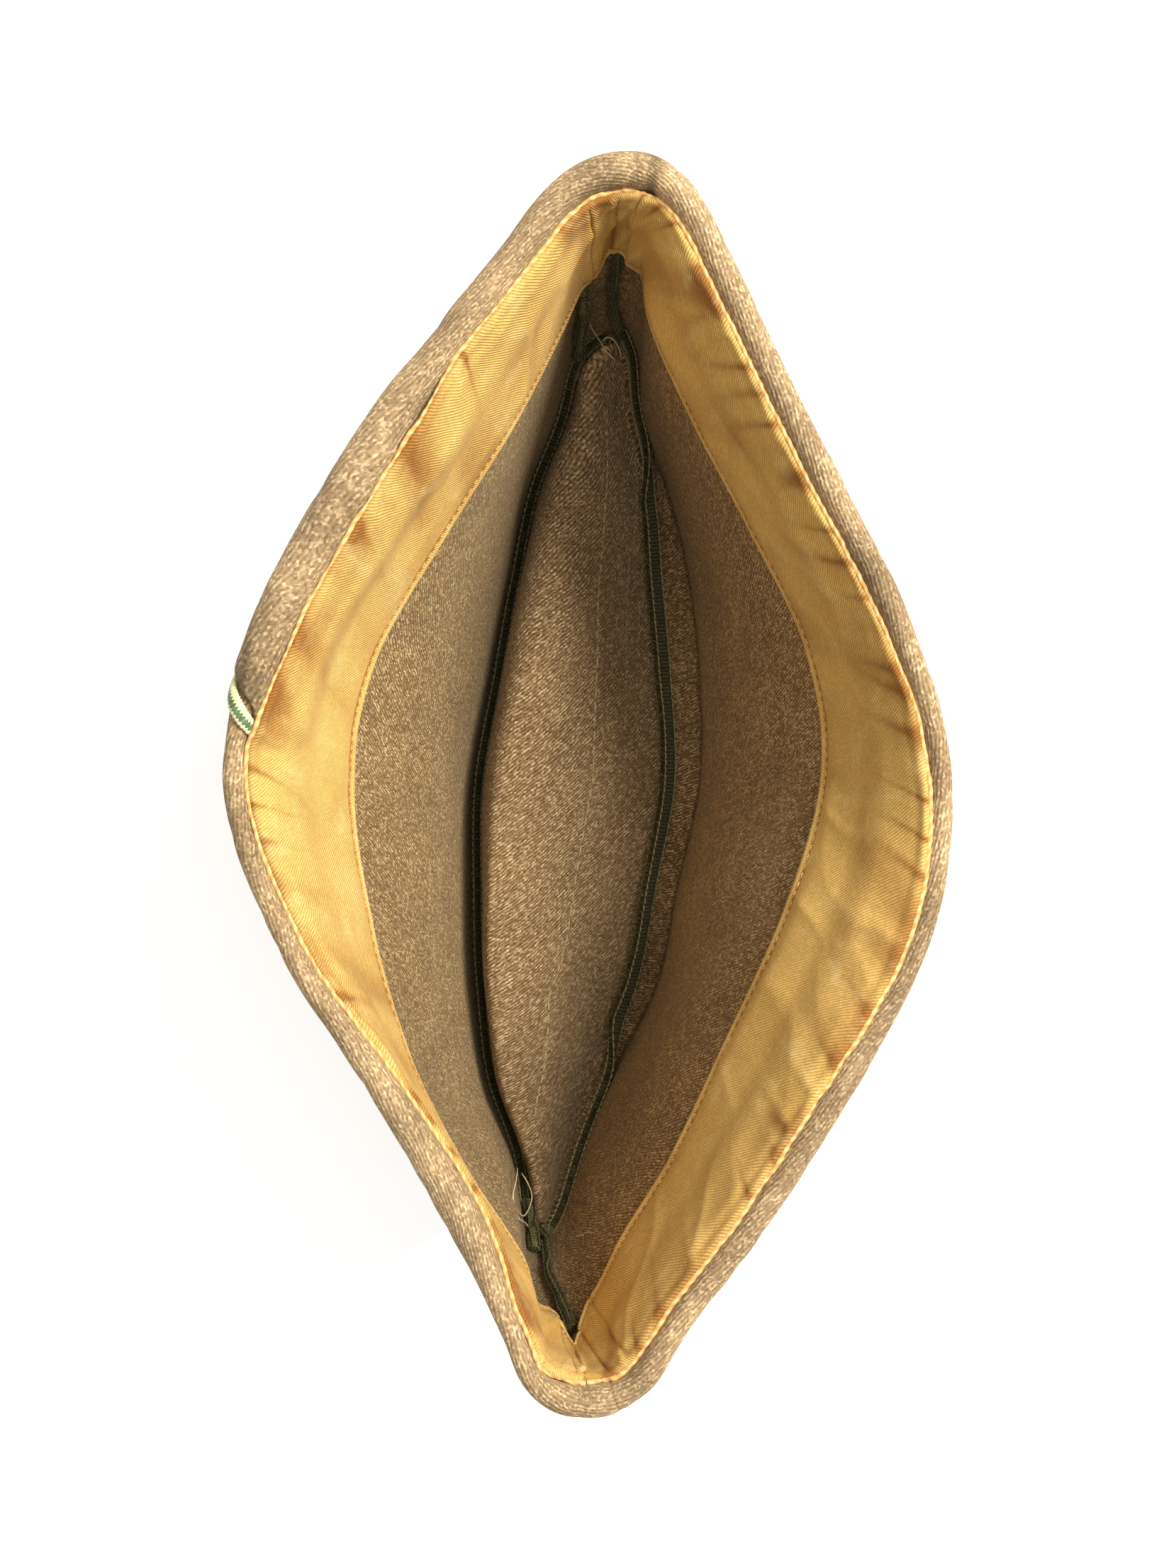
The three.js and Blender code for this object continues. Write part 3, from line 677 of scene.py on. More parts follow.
def finish_of(name, roughness, sheen, sheen_tint, specular):
    """Empty finish: a shader with its constant values, joined to the output."""
    material = bpy.data.materials.new(name)
    material.use_nodes = True
    tree = material.node_tree
    shader = tree.nodes["Principled BSDF"]
    shader.inputs["Roughness"].default_value = roughness
    shader.inputs["Sheen Weight"].default_value = sheen
    shader.inputs["Sheen Roughness"].default_value = 0.45
    shader.inputs["Sheen Tint"].default_value = tint(sheen_tint)
    shader.inputs["Specular IOR Level"].default_value = specular
    return material, tree, shader


def dressed(finish, shade, height, strength, distance):
    """The finish with its colour and its relief joined to the shader."""
    material, tree, shader = finish
    tree.links.new(shade, shader.inputs["Base Color"])
    relief = add(tree, "ShaderNodeBump", {"Strength": strength, "Distance": distance, "Height": height})
    tree.links.new(relief.outputs[0], shader.inputs["Normal"])
    return material


def twill(tree, place, wale, pitch, wander, float_length):
    """Parts of a twill: ribs as a sine across the wales, moved by noise, threads as soft cells along
    them with a random shade each, and streaks as noise stretched along them."""
    slant = unit(np.array(wale, float))
    across = along_line(tree, place, (slant[1] / pitch, -slant[0] / pitch))
    along = along_line(tree, place, (slant[0] / float_length, slant[1] / float_length))
    drift = noise(tree, place, 0.045, 3.0, 0.45)
    moved = calc(tree, "MULTIPLY_ADD", drift, wander, across)
    ribs = calc(tree, "SINE", calc(tree, "MULTIPLY", moved, 2 * math.pi))
    ribs = calc(tree, "MULTIPLY_ADD", ribs, 0.5, 0.5)
    cells = add(tree, "ShaderNodeCombineXYZ", {0: along, 1: moved, 2: 0.0}).outputs[0]
    inputs = {"Vector": cells, "Scale": 2.0, "Randomness": 0.9, "Smoothness": 0.3}
    threads = add(tree, "ShaderNodeTexVoronoi", inputs, voronoi_dimensions="2D", feature="SMOOTH_F1")
    lot = add(tree, "ShaderNodeSeparateColor", {0: threads.outputs["Color"]}).outputs[0]
    return ribs, lot, noise(tree, cells, 2.4, 2.0, 0.6)


def wool(name, shades, wale, pitch=0.80, mottle=0.5, groove_shade=0.56):
    """Heather wool: threads take a dark, middle or light shade at random along a twill, with soft
    streaks along it, over larger mottling, and darker and paler places from the piece's own tone:
    painted shade and painted light, with some random variation."""
    dark, middle, light, fleck = shades
    finish = finish_of(name, roughness=0.95, sheen=0.3, sheen_tint="d8c49c", specular=0.12)
    tree = finish[1]
    place = flat_place(tree)
    ribs, lot, streaks = twill(tree, place, wale, pitch, 5.0, 1.3)
    amount = calc(tree, "MULTIPLY_ADD", streaks, 0.7, calc(tree, "MULTIPLY_ADD", lot, 0.7, -0.20))
    steps = ((-0.05, 0.42, 1.0, middle), (0.42, 0.74, 1.0, light), (0.66, 0.86, 1.0, fleck))
    shade = passing(tree, tint(dark), amount, steps)
    groove = spread(tree, ribs, 0.05, 0.85, groove_shade, 1.12)
    cloud = noise(tree, place, 0.05, 4.0, 0.6)
    cloudy = spread(tree, cloud, 0.25, 0.75, 1 - 0.25 * mottle, 1 + 0.25 * mottle)
    # The tone darkens and lightens the wool: painted shade and painted light, with random variation.
    painted_shade_and_tone = spread(tree, tone_of(tree), 0.0, 1.0, 0.45, 1.55)
    shade = greyed(tree, shade, calc(tree, "MULTIPLY", calc(tree, "MULTIPLY", cloudy, painted_shade_and_tone), groove))
    fuzz = noise(tree, place, 3.2, 3.0, 0.7)
    height = calc(tree, "MULTIPLY_ADD", ribs, 0.6, calc(tree, "MULTIPLY", fuzz, 0.8))
    height = calc(tree, "MULTIPLY_ADD", streaks, 0.5, height)
    return dressed(finish, shade, height, 0.75, 0.00022)


def cotton(name):
    """Golden cotton twill: fine ribs on the bias, with random stains, painted shade in the creases and
    painted light where it is raised.
    """
    finish = finish_of(name, roughness=0.85, sheen=0.15, sheen_tint="ffe2ad", specular=0.25)
    tree = finish[1]
    place = flat_place(tree)
    ribs, lot, _ = twill(tree, place, (-1.0, 1.15), 0.58, 5.5, 0.8)
    # The tone runs from a dark tint through the plain colour to a pale one: painted shade and painted
    # light, with random blotches.
    steps = ((0.05, 0.5, 1.0, "d6ad5f"), (0.5, 0.98, 1.0, "f4da96"))
    shade = passing(tree, tint("96632a"), tone_of(tree), steps)
    shade = passing(tree, shade, noise(tree, place, 0.045, 4.0, 0.62), [(0.52, 0.78, 0.5, "ab763c")])
    shade = passing(tree, shade, noise(tree, place, 0.12, 3.0, 0.6), [(0.5, 0.8, 0.45, "efd28c")])
    thread_shade = spread(tree, lot, 0.0, 1.0, 0.88, 1.10)
    groove = spread(tree, ribs, 0.0, 0.7, 0.66, 1.06)
    shade = greyed(tree, shade, calc(tree, "MULTIPLY", groove, thread_shade))
    height = calc(tree, "MULTIPLY_ADD", noise(tree, place, 0.9, 3.0), 0.7, ribs)
    return dressed(finish, shade, height, 0.55, 0.00018)


def twine(name, low, high, pitch, roughness=0.7):
    """Twisted thread: slanted ply marks round the tube, shading from one tint to the other."""
    finish = finish_of(name, roughness, 0.1, "ffffff", 0.3)
    tree = finish[1]
    parts = add(tree, "ShaderNodeSeparateXYZ", {0: flat_place(tree)}).outputs
    turn = calc(tree, "MULTIPLY_ADD", parts[0], 1 / pitch, parts[1])
    ply = calc(tree, "SINE", calc(tree, "MULTIPLY", turn, 2 * math.pi))
    patchy = noise(tree, add(tree, "ShaderNodeTexCoord").outputs["Object"], 380.0, 2.0)
    amount = calc(tree, "MULTIPLY_ADD", ply, 0.25, patchy)
    shade = passing(tree, tint(low), amount, [(0.2, 0.8, 1.0, high)])
    return dressed(finish, shade, ply, 0.6, 0.0001)


def braid(name):
    """Edging cord: green along its middle, cream zigzag loops on both sides."""
    finish = finish_of(name, 0.6, 0.1, "ffffff", 0.35)
    tree = finish[1]
    place = flat_place(tree)
    parts = add(tree, "ShaderNodeSeparateXYZ", {0: place}).outputs
    saw = calc(tree, "PINGPONG", parts[0], CORD_LOOP / 2)
    off_middle = calc(tree, "ABSOLUTE", calc(tree, "SUBTRACT", parts[1], 0.25))
    edge = calc(tree, "SUBTRACT", off_middle, calc(tree, "MULTIPLY_ADD", saw, 0.20, 0.035))
    cream = dappled(tree, place, 1.6, "d2cb90", "ece6b4")
    cream = blend(tree, spread(tree, saw, 0.06, 0.0, 0.0, 0.45), cream, tint("a9a878"))
    green = dappled(tree, place, 2.4, "425c3a", "71875c")
    shade = blend(tree, spread(tree, edge, -0.004, 0.006), green, cream)
    height = calc(tree, "MULTIPLY_ADD", saw, 2.0, spread(tree, edge, -0.01, 0.01))
    return dressed(finish, shade, height, 0.5, 0.0002)


wool_left = wool("wool_left", ("503a22", "7f6441", "9d8258", "c6ac7d"), (1, 1))
wool_right = wool("wool_right", ("4f3921", "826441", "a6865b", "c9aa7c"), (-0.55, 1))
wool_gusset = wool("wool_gusset", ("5a4630", "8a6f4c", "a98c64", "cdb28a"), (-0.8, 1))
wool_curtain = wool("wool_curtain", ("715d44", "937a59", "a88e69", "c6ac83"), (1, 0.12),
                    pitch=0.6, mottle=1.0, groove_shade=0.84)
band_cotton = cotton("band_cotton")
band_edge_cotton = twine("band_edge_cotton", "cf9a55", "e9bf80", 2.5, 0.9)
edging = braid("edging_cord")
golden_thread = twine("golden_thread", "b57f3a", "e0b46c", 0.5)
pale_thread = twine("pale_thread", "bda878", "efe0b0", 0.5)
olive_thread = twine("olive_thread", "464422", "807c4b", 0.6)
light_olive_thread = twine("light_olive_thread", "7f784c", "aba377", 0.6)
dark_olive_wool = wool("dark_olive_wool", ("292611", "3d381c", "534d2a", "676039"), (1, 1),
                       pitch=0.7, mottle=0.4)
moss_thread = twine("moss_thread", "33351a", "67683c", 0.6)
pale_olive_thread = twine("pale_olive_thread", "9a875c", "cdb98a", 0.5)


def wear(piece, material, node=None, body="root"):
    """Gives a piece its finish, the body it rides on and the node it stands for."""
    piece.data.materials.append(material)
    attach(piece, body)
    if node:
        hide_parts(node)
    return piece


# Crown panels


def panel_grid(start, end, lit_fold):
    """Crown panel: down the wall, a quarter turn round the ridge, flat to the seam and a little lap
    under the gusset. Its tone varies at random, with painted light above the fold and painted shade in
    the crease."""
    u = crowded(seam_shift(start, 1), seam_shift(end, -1), PANEL_COLUMNS, 0.05)
    share = np.concatenate([np.linspace(0, 1, 96), np.ones(19)])
    turn = np.concatenate([np.zeros(96), np.linspace(0, 1, 9)[1:], np.ones(11)])
    flat = np.concatenate([np.zeros(104), np.linspace(0, 1, 7)[1:], np.ones(5)])
    lap = np.concatenate([np.zeros(110), np.linspace(0, 1, 6)[1:]])
    uu, ss = np.meshgrid(u, share, indexing="ij")
    length = wall_length(uu)
    hanging_part = wall_point(uu, ss * length, 0 * uu)
    across = inward(crown_plan, uu)
    angle = turn * np.pi / 2
    free = ease(crown_rise(uu) / 3)
    step = FOLD * (1 - np.cos(angle)) + flat * (seam_reach(uu) - FOLD) + lap * (0.25 + 2.4 * free)
    drop = (CLOTH + 0.15) * free * ease(lap * 1.6)
    ridge = raised(crown_plan(uu) + across * step[..., None],
                   crown_rise(uu) + CLOTH / 2 + FOLD - FOLD * np.sin(angle) - drop)
    middle = np.where((turn > 0)[None, :, None], ridge, hanging_part)
    down = ss * length + FOLD * angle + flat * (seam_reach(uu) - FOLD)
    uv = np.stack([rim_run(uu), down], -1)
    above = np.maximum(length - ss * length, 0)
    near_fold = bump(above, 26) * (seam_reach(uu) > 5) * (turn[None] == 0)
    # Painted shade in the crease round the ridge.
    painted_crease_shade = bump(angle - 0.5, 0.9) * (turn[None] > 0)
    tone = 0.5 + 0.1 * waver(rim_run(uu) / 60, down / 40, 8) + lit_fold * near_fold - 0.35 * painted_crease_shade
    return middle, CLOTH, uv, tone


left_panel = cloth("wool_panel_left", *panel_grid(12, 24, lit_fold=0.0))
wear(left_panel, wool_left, "crown_left")
right_panel = cloth("wool_panel_right", *panel_grid(0, 12, lit_fold=0.22))
wear(right_panel, wool_right, "crown_right")


# Gusset


def gusset_seam(u):
    """Seam line of the gusset at one side."""
    step = seam_reach(u) + GAP + CLOTH / 2
    return raised(crown_plan(u) + inward(crown_plan, u) * step[..., None], crown_rise(u) + CLOTH / 2)


def gusset_point(k, w):
    """Gusset at section k and share w: up from the right seam to the fold, then down to the left."""
    right, left = gusset_seam(12 - k), gusset_seam(12 + k)
    across = right - left
    place = at(crest_place, k)[..., None]
    crest = left + across * place
    crest = crest + np.array([0, 0, CREST]) * at(crest_rise, k)[..., None]
    lift = crest[..., 2] - left[..., 2]
    level = across * np.array([1, 1, 0])
    near = right - level * 0.3 * (1 - place)
    near[..., 2] = right[..., 2] + 0.12 * lift
    fall = left.copy()
    fall[..., 2] = left[..., 2] + 0.6 * lift
    rising = cubic(right, near, crest + level * 0.38 * (1 - place), crest, np.clip(w / CREST_SHARE, 0, 1))
    falling = cubic(crest, crest - level * 0.9 * place, fall, left,
                    np.clip((w - CREST_SHARE) / (1 - CREST_SHARE), 0, 1))
    return np.where((w < CREST_SHARE)[..., None], rising, falling)


def gusset_surface(k, w, out):
    """The gusset set off along its normal, with soft dents that fade out towards its seams."""
    k, w, out = together(k, w, out)
    along = gusset_point(k + 0.02, w) - gusset_point(k - 0.02, w)
    low, high = np.clip(w - 0.01, 0, 1), np.clip(w + 0.01, 0, 1)
    normal = unit(np.cross(along, gusset_point(k, high) - gusset_point(k, low)))
    normal = normal * np.where(normal[..., 2:] < 0, -1, 1)
    fade = ease(k / 2) * ease((12 - k) / 2) * np.sin(np.pi * w)
    dents = fade * (0.8 * waver(k / 1.6, w * 3.2, 5) + 0.3 * waver(k / 0.7, w * 5, 25))
    return gusset_point(k, w) + normal * (dents + out)[..., None]


k, w = np.meshgrid(np.linspace(0.12, 11.88, GUSSET_COLUMNS), np.linspace(0, 1, GUSSET_ROWS), indexing="ij")
gusset_middle = gusset_surface(k, w, 0.0)
gusset_across = run_of(gusset_middle)
gusset_along = gusset_middle[..., 1]
gusset_uv = np.stack([gusset_along, gusset_across], -1)
# Tone: paler towards the back as painted light from the key light's side, with random variation.
gusset_tone = (0.5 + 0.16 * gusset_along / (CROWN_LENGTH / 2)
               + 0.1 * waver(gusset_along / 50, gusset_across / 22, 9))
gusset = cloth("wool_gusset_lens", gusset_middle, CLOTH, gusset_uv, gusset_tone)
wear(gusset, wool_gusset, "crown_gusset")


def sewn_row(name, row, pitch, thread, finish):
    """Stitches along a row of the gusset's table, evenly spaced by section."""
    starts = np.arange(row[0, 0], row[-1, 0], pitch)
    ends = np.stack([starts, starts + 0.72 * pitch], -1)
    across = np.interp(ends, row[:, 0], row[:, 1])
    piece = stitches(name, gusset_surface, ends, across, CLOTH / 2, thread, 0.16)
    return wear(piece, finish)


chain_row = sewn_row("chain_row", CHAIN, 0.135, 0.22, pale_olive_thread)
topstitch_row = sewn_row("topstitch_row", TOPSTITCH, 0.12, 0.18, light_olive_thread)


# Curtain


def curtain_reach(u, row):
    """Path length from the top of the roll to the lip's end for a row below 0, else to the free edge."""
    return roll_quarter(u) + np.where(row < 0, LIP, curtain_depth(u))


def curtain_path(u, row):
    """Path length for a row: -1 at the lip's end, 0 at the top of the roll, 1 at the free edge."""
    return row * curtain_reach(u, row)


curtain_rows = np.concatenate([
    -1 + np.array([0, 0.01, 0.03, 0.05]),
    np.linspace(-0.9, 0, 30),
    np.linspace(0, 0.14, 22)[1:],
    np.linspace(0.14, 0.99, 46)[1:],
    [0.994, 0.998, 1.0],
])


def curtain_layer(name, node, fixed, turn, share, edge, lift):
    """Curtain layer between a fixed end seam and a free edge that depends on the row: columns at fixed
    stations, then, where their share isn't 0, at that share of the way from the turn to the edge."""
    limit = np.full(len(curtain_rows), OVERLAP_STATION)
    for _ in range(10):
        limit = edge(curtain_path(limit, curtain_rows))
    uu = np.where(share[:, None] > 0, turn + (limit[None] - turn) * share[:, None], fixed[:, None])
    rr = np.broadcast_to(curtain_rows, uu.shape)
    q = curtain_path(uu, rr)
    run = rim_run(uu)
    near_top = ease(1.2 - np.abs(q) / 14)
    waves = 0.3 * np.abs(waver(run / 8, q / 14, 6)) * near_top
    # The pinch is a shallow dent of the roll; the tone is also darkened there as painted shade.
    pinch = bump(run - rim_run(PINCH_STATION) - 0.3 * q, 3.4) * near_top
    sewn = bump(run - rim_run(JOIN), 0.8) + bump(run - rim_run(24 + JOIN), 0.8)
    middle = curtain_point(uu, q, lift(uu, q) + waves - 0.7 * pinch * ease((3.5 - q) / 4) - 0.2 * sewn)
    # Painted light and shade of soft folds near the ends, in the tone only.
    painted_fold_shading_near_ends = bump(run - rim_run(12), 34) + bump(run - rim_run(JOIN), 12) * 0.4
    tone = (0.5 + 0.15 * waver(run / 14, q / 9, 7) - 0.36 * pinch - 0.2 * sewn
            + 0.22 * painted_fold_shading_near_ends * waver(run / 3.4, q / 12, 16))
    thickness = CLOTH * rounded((1 - np.abs(rr)) * curtain_reach(uu, rr), CLOTH / 2)
    piece = cloth(name, middle, thickness, np.stack([run, q + 60], -1), tone)
    return wear(piece, wool_curtain, node)


over_fixed = np.concatenate([np.linspace(seam_shift(JOIN, 1), 11, 300), np.zeros(150)])
over_share = np.concatenate([np.zeros(300), crowded(0, 1, 156, 0.004)[5:155]])
over_share[-1] = 1.0
curtain_over = curtain_layer("wool_curtain_over", "curtain_over", over_fixed, 11.0, over_share,
                             over_edge, over_lift)
under_fixed = np.concatenate([np.zeros(80), np.linspace(18.6, seam_shift(24 + JOIN, -1), 150)])
under_share = np.concatenate([np.linspace(1, 0.01, 80), np.zeros(150)])
curtain_under = curtain_layer("wool_curtain_under", "curtain_under", under_fixed, 18.5, under_share,
                              under_edge, lambda u, q: 0 * u)


# Sweatband


def pleat(u, share):
    """How far the pleats stand off towards the free edge: the tallest of their rounded humps."""
    swell = [stands * BAND_WIDTH * bump(u - middle, wide) for middle, wide, stands in PLEATS]
    return np.max(swell, axis=0) * ease(share * 1.2)


def overlap_room(u):
    start = ease((u - under_edge(0) + 1) / 0.6)
    return LIFT * start * (1 - ease((u - over_edge(-2 * LIP)) / 0.2))


def crest(x, y, seed, sharp):
    """Creases: a ridge from 0 to 1 wherever the unevenness passes through zero."""
    return (1 - np.abs(waver(x, y, seed))) ** sharp


def band_folds(u, share):
    """Creases of the band, inwards: short puckers at the sewn edge, slanting ridges and broad soft
    folds beyond, and the swellings beside the sharp folds of its ends."""
    run = rim_run(u % 24)
    down = share * BAND_WIDTH
    slant = run - 0.7 * down
    pucker = np.exp(-down / 8) * ease(down / 1.5) * crest((run - 0.4 * down) / 8.5, down / 40, 11, 2)
    bend = 5 * waver(run / 34, down / 22, 14)
    fold_a = crest((slant + bend) / 12, down / 30, 12, 3)
    fold_b = crest((slant + bend) / 31, down / 17, 13, 3)
    broad = 0.5 + 0.5 * waver(run / 19, down / 14, 15)
    fade = ease(down / 4) * ease((BAND_WIDTH - down) / 6)
    swell = [depth * (1 - np.exp(-np.abs(x) / wide)) * np.exp(-np.abs(x) / 6)
             for x, wide, depth in fold_offsets(u, share)]
    crumple = fade * (0.6 * fold_a + 0.45 * fold_b + 0.8 * broad)
    return 0.9 * pucker + crumple + ease(down / 3) * np.max(swell, axis=0)


def fold_offsets(u, share):
    """Distance along the rim from each sharp fold, the short way round, with its width and depth."""
    whole = rim_lengths[-1]
    for sewn, free, wide, depth in FOLDS:
        x = rim_run(u % 24) - rim_run(sewn + (free - sewn) * share)
        yield (x + whole / 2) % whole - whole / 2, wide, depth


def band_width(u):
    """Width of the band: less in a notch at each end, where its free edges meet in a point."""
    return BAND_WIDTH - np.interp(np.asarray(u, float) % 24, NOTCHES[:, 0], NOTCHES[:, 1])


def band_point(u, s, out):
    """Middle surface of the band, inside the wall and close against the turned-in lip."""
    share = (s - BAND_DROP) / BAND_WIDTH
    clear = CLOTH / 2 + GAP + BAND_CLOTH / 2
    passed = ease((s - LIP - 1.5) / LIP)
    lip = (inside(u, s) + overlap_room(u) - 0.1) * (1 - passed)
    return wall_point(u, s, -clear - lip - pleat(u, share) - band_folds(u, share) + out)


band_u = np.linspace(0, 24, BAND_COLUMNS + 1)[:-1]
band_share = crowded(0, BAND_WIDTH, BAND_ROWS, 0.7) / BAND_WIDTH
uu, row = np.meshgrid(band_u, band_share, indexing="ij")
ss = BAND_DROP + row * band_width(uu)
hem = ease((row - 0.945) / 0.012)
bead = bump(ss - BAND_DROP - 0.8, 1.1)
band_thick = (BAND_CLOTH + 0.45 * hem + 0.5 * bead) * rounded(np.minimum(row, 1 - row) * BAND_WIDTH, 0.7)
band_middle = band_point(uu, ss, -0.2 * hem - 0.25 * bead)
run = rim_run(uu)
share = (ss - BAND_DROP) / BAND_WIDTH
crease = band_folds(uu, share)
# Painted shade of short wrinkles near the sewn edge.
painted_wrinkle_shade = crest((run - 0.5 * ss) / 7.5, ss / 30, 31, 4) * np.exp(-(ss - BAND_DROP) / 8)
blotch = waver((run - 0.6 * ss) / 9, (ss + 0.2 * run) / 21, 32) + 0.6 * waver(run / 31, ss / 16, 33)
shadows = [depth * np.exp(-(x / (1.4 * wide)) ** 2) for x, wide, depth in fold_offsets(uu, share)]
shadow = np.max(shadows, axis=0) * ease(row / 0.08)
# Tone: painted shade in the fold valleys and painted light on their crests, random blotches, painted
# wrinkle shade, a paler hem, painted shadows beside the sharp folds and a painted shadow line by the hem.
tone = (0.5 + 0.12 * (crease - 1.0) + 0.14 * blotch - 0.5 * painted_wrinkle_shade + 0.25 * hem - 0.3 * shadow
        - 0.4 * bump(row - 0.935, 0.012))
looped = np.concatenate([run, np.full((1, run.shape[1]), rim_lengths[-1])])
band_uv = np.stack([looped, np.concatenate([ss, ss[:1]])], -1)
band = cloth("cotton_sweatband", band_middle, band_thick, band_uv, tone, loop=True)
wear(band, band_cotton, "sweatband")

ridge_u = np.linspace(0.01, 23.99, 1900)
ridge_run = rim_run(ridge_u)
ridge_dip = 0.5 + 0.5 * np.cos(2 * np.pi * ridge_run / HEM_PITCH)
at_ends = bump(ridge_run - rim_run(12), 22) + bump(ridge_run, 22) + bump(ridge_run - rim_lengths[-1], 22)
ridge_s = BAND_DROP + 0.1 + (0.25 + 0.35 * at_ends) * waver(ridge_run / 5, 0 * ridge_run, 41)
ridge_path = band_point(ridge_u, ridge_s, 0.25 - 0.12 * waver(ridge_run / 3, 0 * ridge_run, 42))
ridge_up = unit(band_point(ridge_u, ridge_s, -1.5 + 0 * ridge_u) - ridge_path)
ridge_radius = 0.62 - 0.1 * ridge_dip
rolled_edge = tubes("band_rolled_edge", ridge_path[None], ridge_up[None], ridge_radius[None], 1.0, 0.9, 8)
wear(rolled_edge, band_edge_cotton)

step = HEM_PITCH / STATION_RUN
hem_start = np.arange(0, 24, step)
hem_u = np.stack([hem_start, hem_start + HEM_STITCH * step], -1)
hem_s = BAND_DROP + band_width(hem_u) * HEM_SHARE
hem_stitches = stitches("hem_stitches", band_point, hem_u, hem_s, -BAND_CLOTH / 2, HEM_THREAD, 0.18)
wear(hem_stitches, golden_thread)
edge_s = np.full_like(hem_u, BAND_DROP + EDGE_ROW)
edge_stitches = stitches("edge_stitches", band_point, hem_u, edge_s, -BAND_CLOTH / 2, EDGE_THREAD, 0.12)
wear(edge_stitches, golden_thread)


# Edging cord


def edging_path():
    """Dense path of the cord beside the over-layer's edge, round its corner and along the top edge, with
    the directions away from the cloth and the corner's station."""
    setting = (PIPING / 2 + GAP) * 1.2
    proud = CLOTH / 2 + CORD_HIGH
    q = np.linspace(-5.6, CURTAIN_DEPTH, 430)
    q = q[q < roll_quarter(over_edge(q)) + curtain_depth(over_edge(q)) - 0.5]
    lean = (over_edge(q - 0.5) - over_edge(q + 0.5)) * STATION_RUN
    reach = setting / np.hypot(1, lean)
    side_u, side_q = over_edge(q) + reach / STATION_RUN, q + reach * lean
    turned = side_u[-1] - 0.1
    top_u = np.linspace(turned, JOIN + 0.03, 900)
    top_q = roll_quarter(top_u) + curtain_depth(top_u) + setting
    u = np.concatenate([side_u, top_u])
    q = np.concatenate([side_q, top_q])
    drop = np.concatenate([0 * side_u, -LAYER * ease(turned - top_u + 0.4)])
    u, q, drop = (smoothed(values, 9) for values in (u, q, drop))
    middle = curtain_point(u, q, drop + proud)
    return middle, unit(curtain_point(u, q, drop + proud + 1) - middle), turned


def braided(name, path, ups):
    """Flat braid along a path: an oval section that swells a little at each loop of its edges."""
    spacing = CORD_LOOP / 4
    run = run_of(path)
    places = np.linspace(0, run[-1], int(run[-1] / spacing))
    path, ups = carried(path, run, places), carried(ups, run, places)
    swell = CORD_WIDE * (1 + 0.07 * np.cos(2 * np.pi * spacing * np.arange(len(places)) / CORD_LOOP))
    return tubes(name, path[None], unit(ups)[None], swell[None], 1.0, CORD_HIGH / CORD_WIDE, 12)


edging_middle, edging_up, corner_station = edging_path()
cord_over = braided("edging_cord_over", edging_middle, edging_up)
wear(cord_over, edging, "piping")
under_u = np.linspace(24 + JOIN - 0.03, corner_station + 0.3, 560)
under_q = roll_quarter(under_u) + curtain_depth(under_u) + (PIPING / 2 + GAP) * 1.2
under_out = CLOTH / 2 + 0.15 + CORD_HIGH - LAYER
under_middle = curtain_point(under_u, under_q, 0 * under_u + under_out)
under_up = unit(curtain_point(under_u, under_q, 0 * under_u + under_out + 1) - under_middle)
cord_under = braided("edging_cord_under", under_middle, under_up)
wear(cord_under, edging, "piping_under")


# Overlocked seams


def strip(foot, across, facing, name, node, wide, stitching):
    """Seam allowance from a foot line: two pressed layers as one rounded strip, thread looped round it
    as a flattened helix, and a row of longer stitches along each edge of its faces."""
    shares = crowded(0, wide, 12, 0.6) / wide
    middle = foot[:, None] + across[:, None] * (shares * wide)[None, :, None]
    round_off = rounded(np.minimum(shares, 1 - shares) * wide, 0.6)
    run = run_of(foot)
    uv = np.stack(np.meshgrid(run, shares * wide, indexing="ij"), -1)
    thickness = (ALLOWANCE_CLOTH - 0.5) * round_off[None] * np.ones((len(foot), 1))
    core = cloth(name, middle, thickness, uv, np.full(middle.shape[:2], 0.35))
    wear(core, dark_olive_wool, node)
    places = np.linspace(0, run[-1], int(run[-1] * LOOP_STEPS))
    phase = np.linspace(0, run[-1] * 2 * np.pi, len(places))
    follow = [carried(rows, run, places) for rows in (foot, across, facing)]
    half = 0.5 * wide - 0.8
    reach = 0.9 + half + half * np.sign(np.cos(phase)) * np.abs(np.cos(phase)) ** 0.6
    stand = (ALLOWANCE_CLOTH / 2 - 0.16) * np.sign(np.sin(phase)) * np.abs(np.sin(phase)) ** 0.6
    helix = follow[0] + follow[1] * reach[:, None] + follow[2] * stand[:, None]
    loops = tubes(name + "_loops", helix[None], follow[1][None] + 0.3 * follow[2][None], LOOP_THREAD)
    wear(loops, olive_thread)
    starts = np.arange(0, run[-1] - 2, ROW_PITCH)
    share = np.linspace(0, 1, STITCH_POINTS)
    places = (starts[:, None] + ROW_STITCH * share).ravel()
    follow = [carried(rows, run, places).reshape(-1, STITCH_POINTS, 3) for rows in (foot, across, facing)]
    arch = 0.2 * np.sin(np.pi * share)
    rows = []
    for reach, side in ((1.0, 1), (wide - 0.4, 1), (1.0, -1), (wide - 1.7, -1)):
        slant = reach + 0.3 * (share - 0.5)
        out = side * (ALLOWANCE_CLOTH / 2 + 0.05 + arch)
        rows.append(follow[0] + follow[1] * slant[None, :, None] + follow[2] * out[None, :, None])
    paths = np.concatenate(rows)
    ups = np.concatenate([follow[2], follow[2], -follow[2], -follow[2]])
    taper = ROW_THREAD * (0.5 + 0.5 * np.sin(np.pi * share))
    dashes = tubes(name + "_rows", paths, ups, np.broadcast_to(taper, paths.shape[:2]))
    wear(dashes, stitching)
    return core, loops, dashes


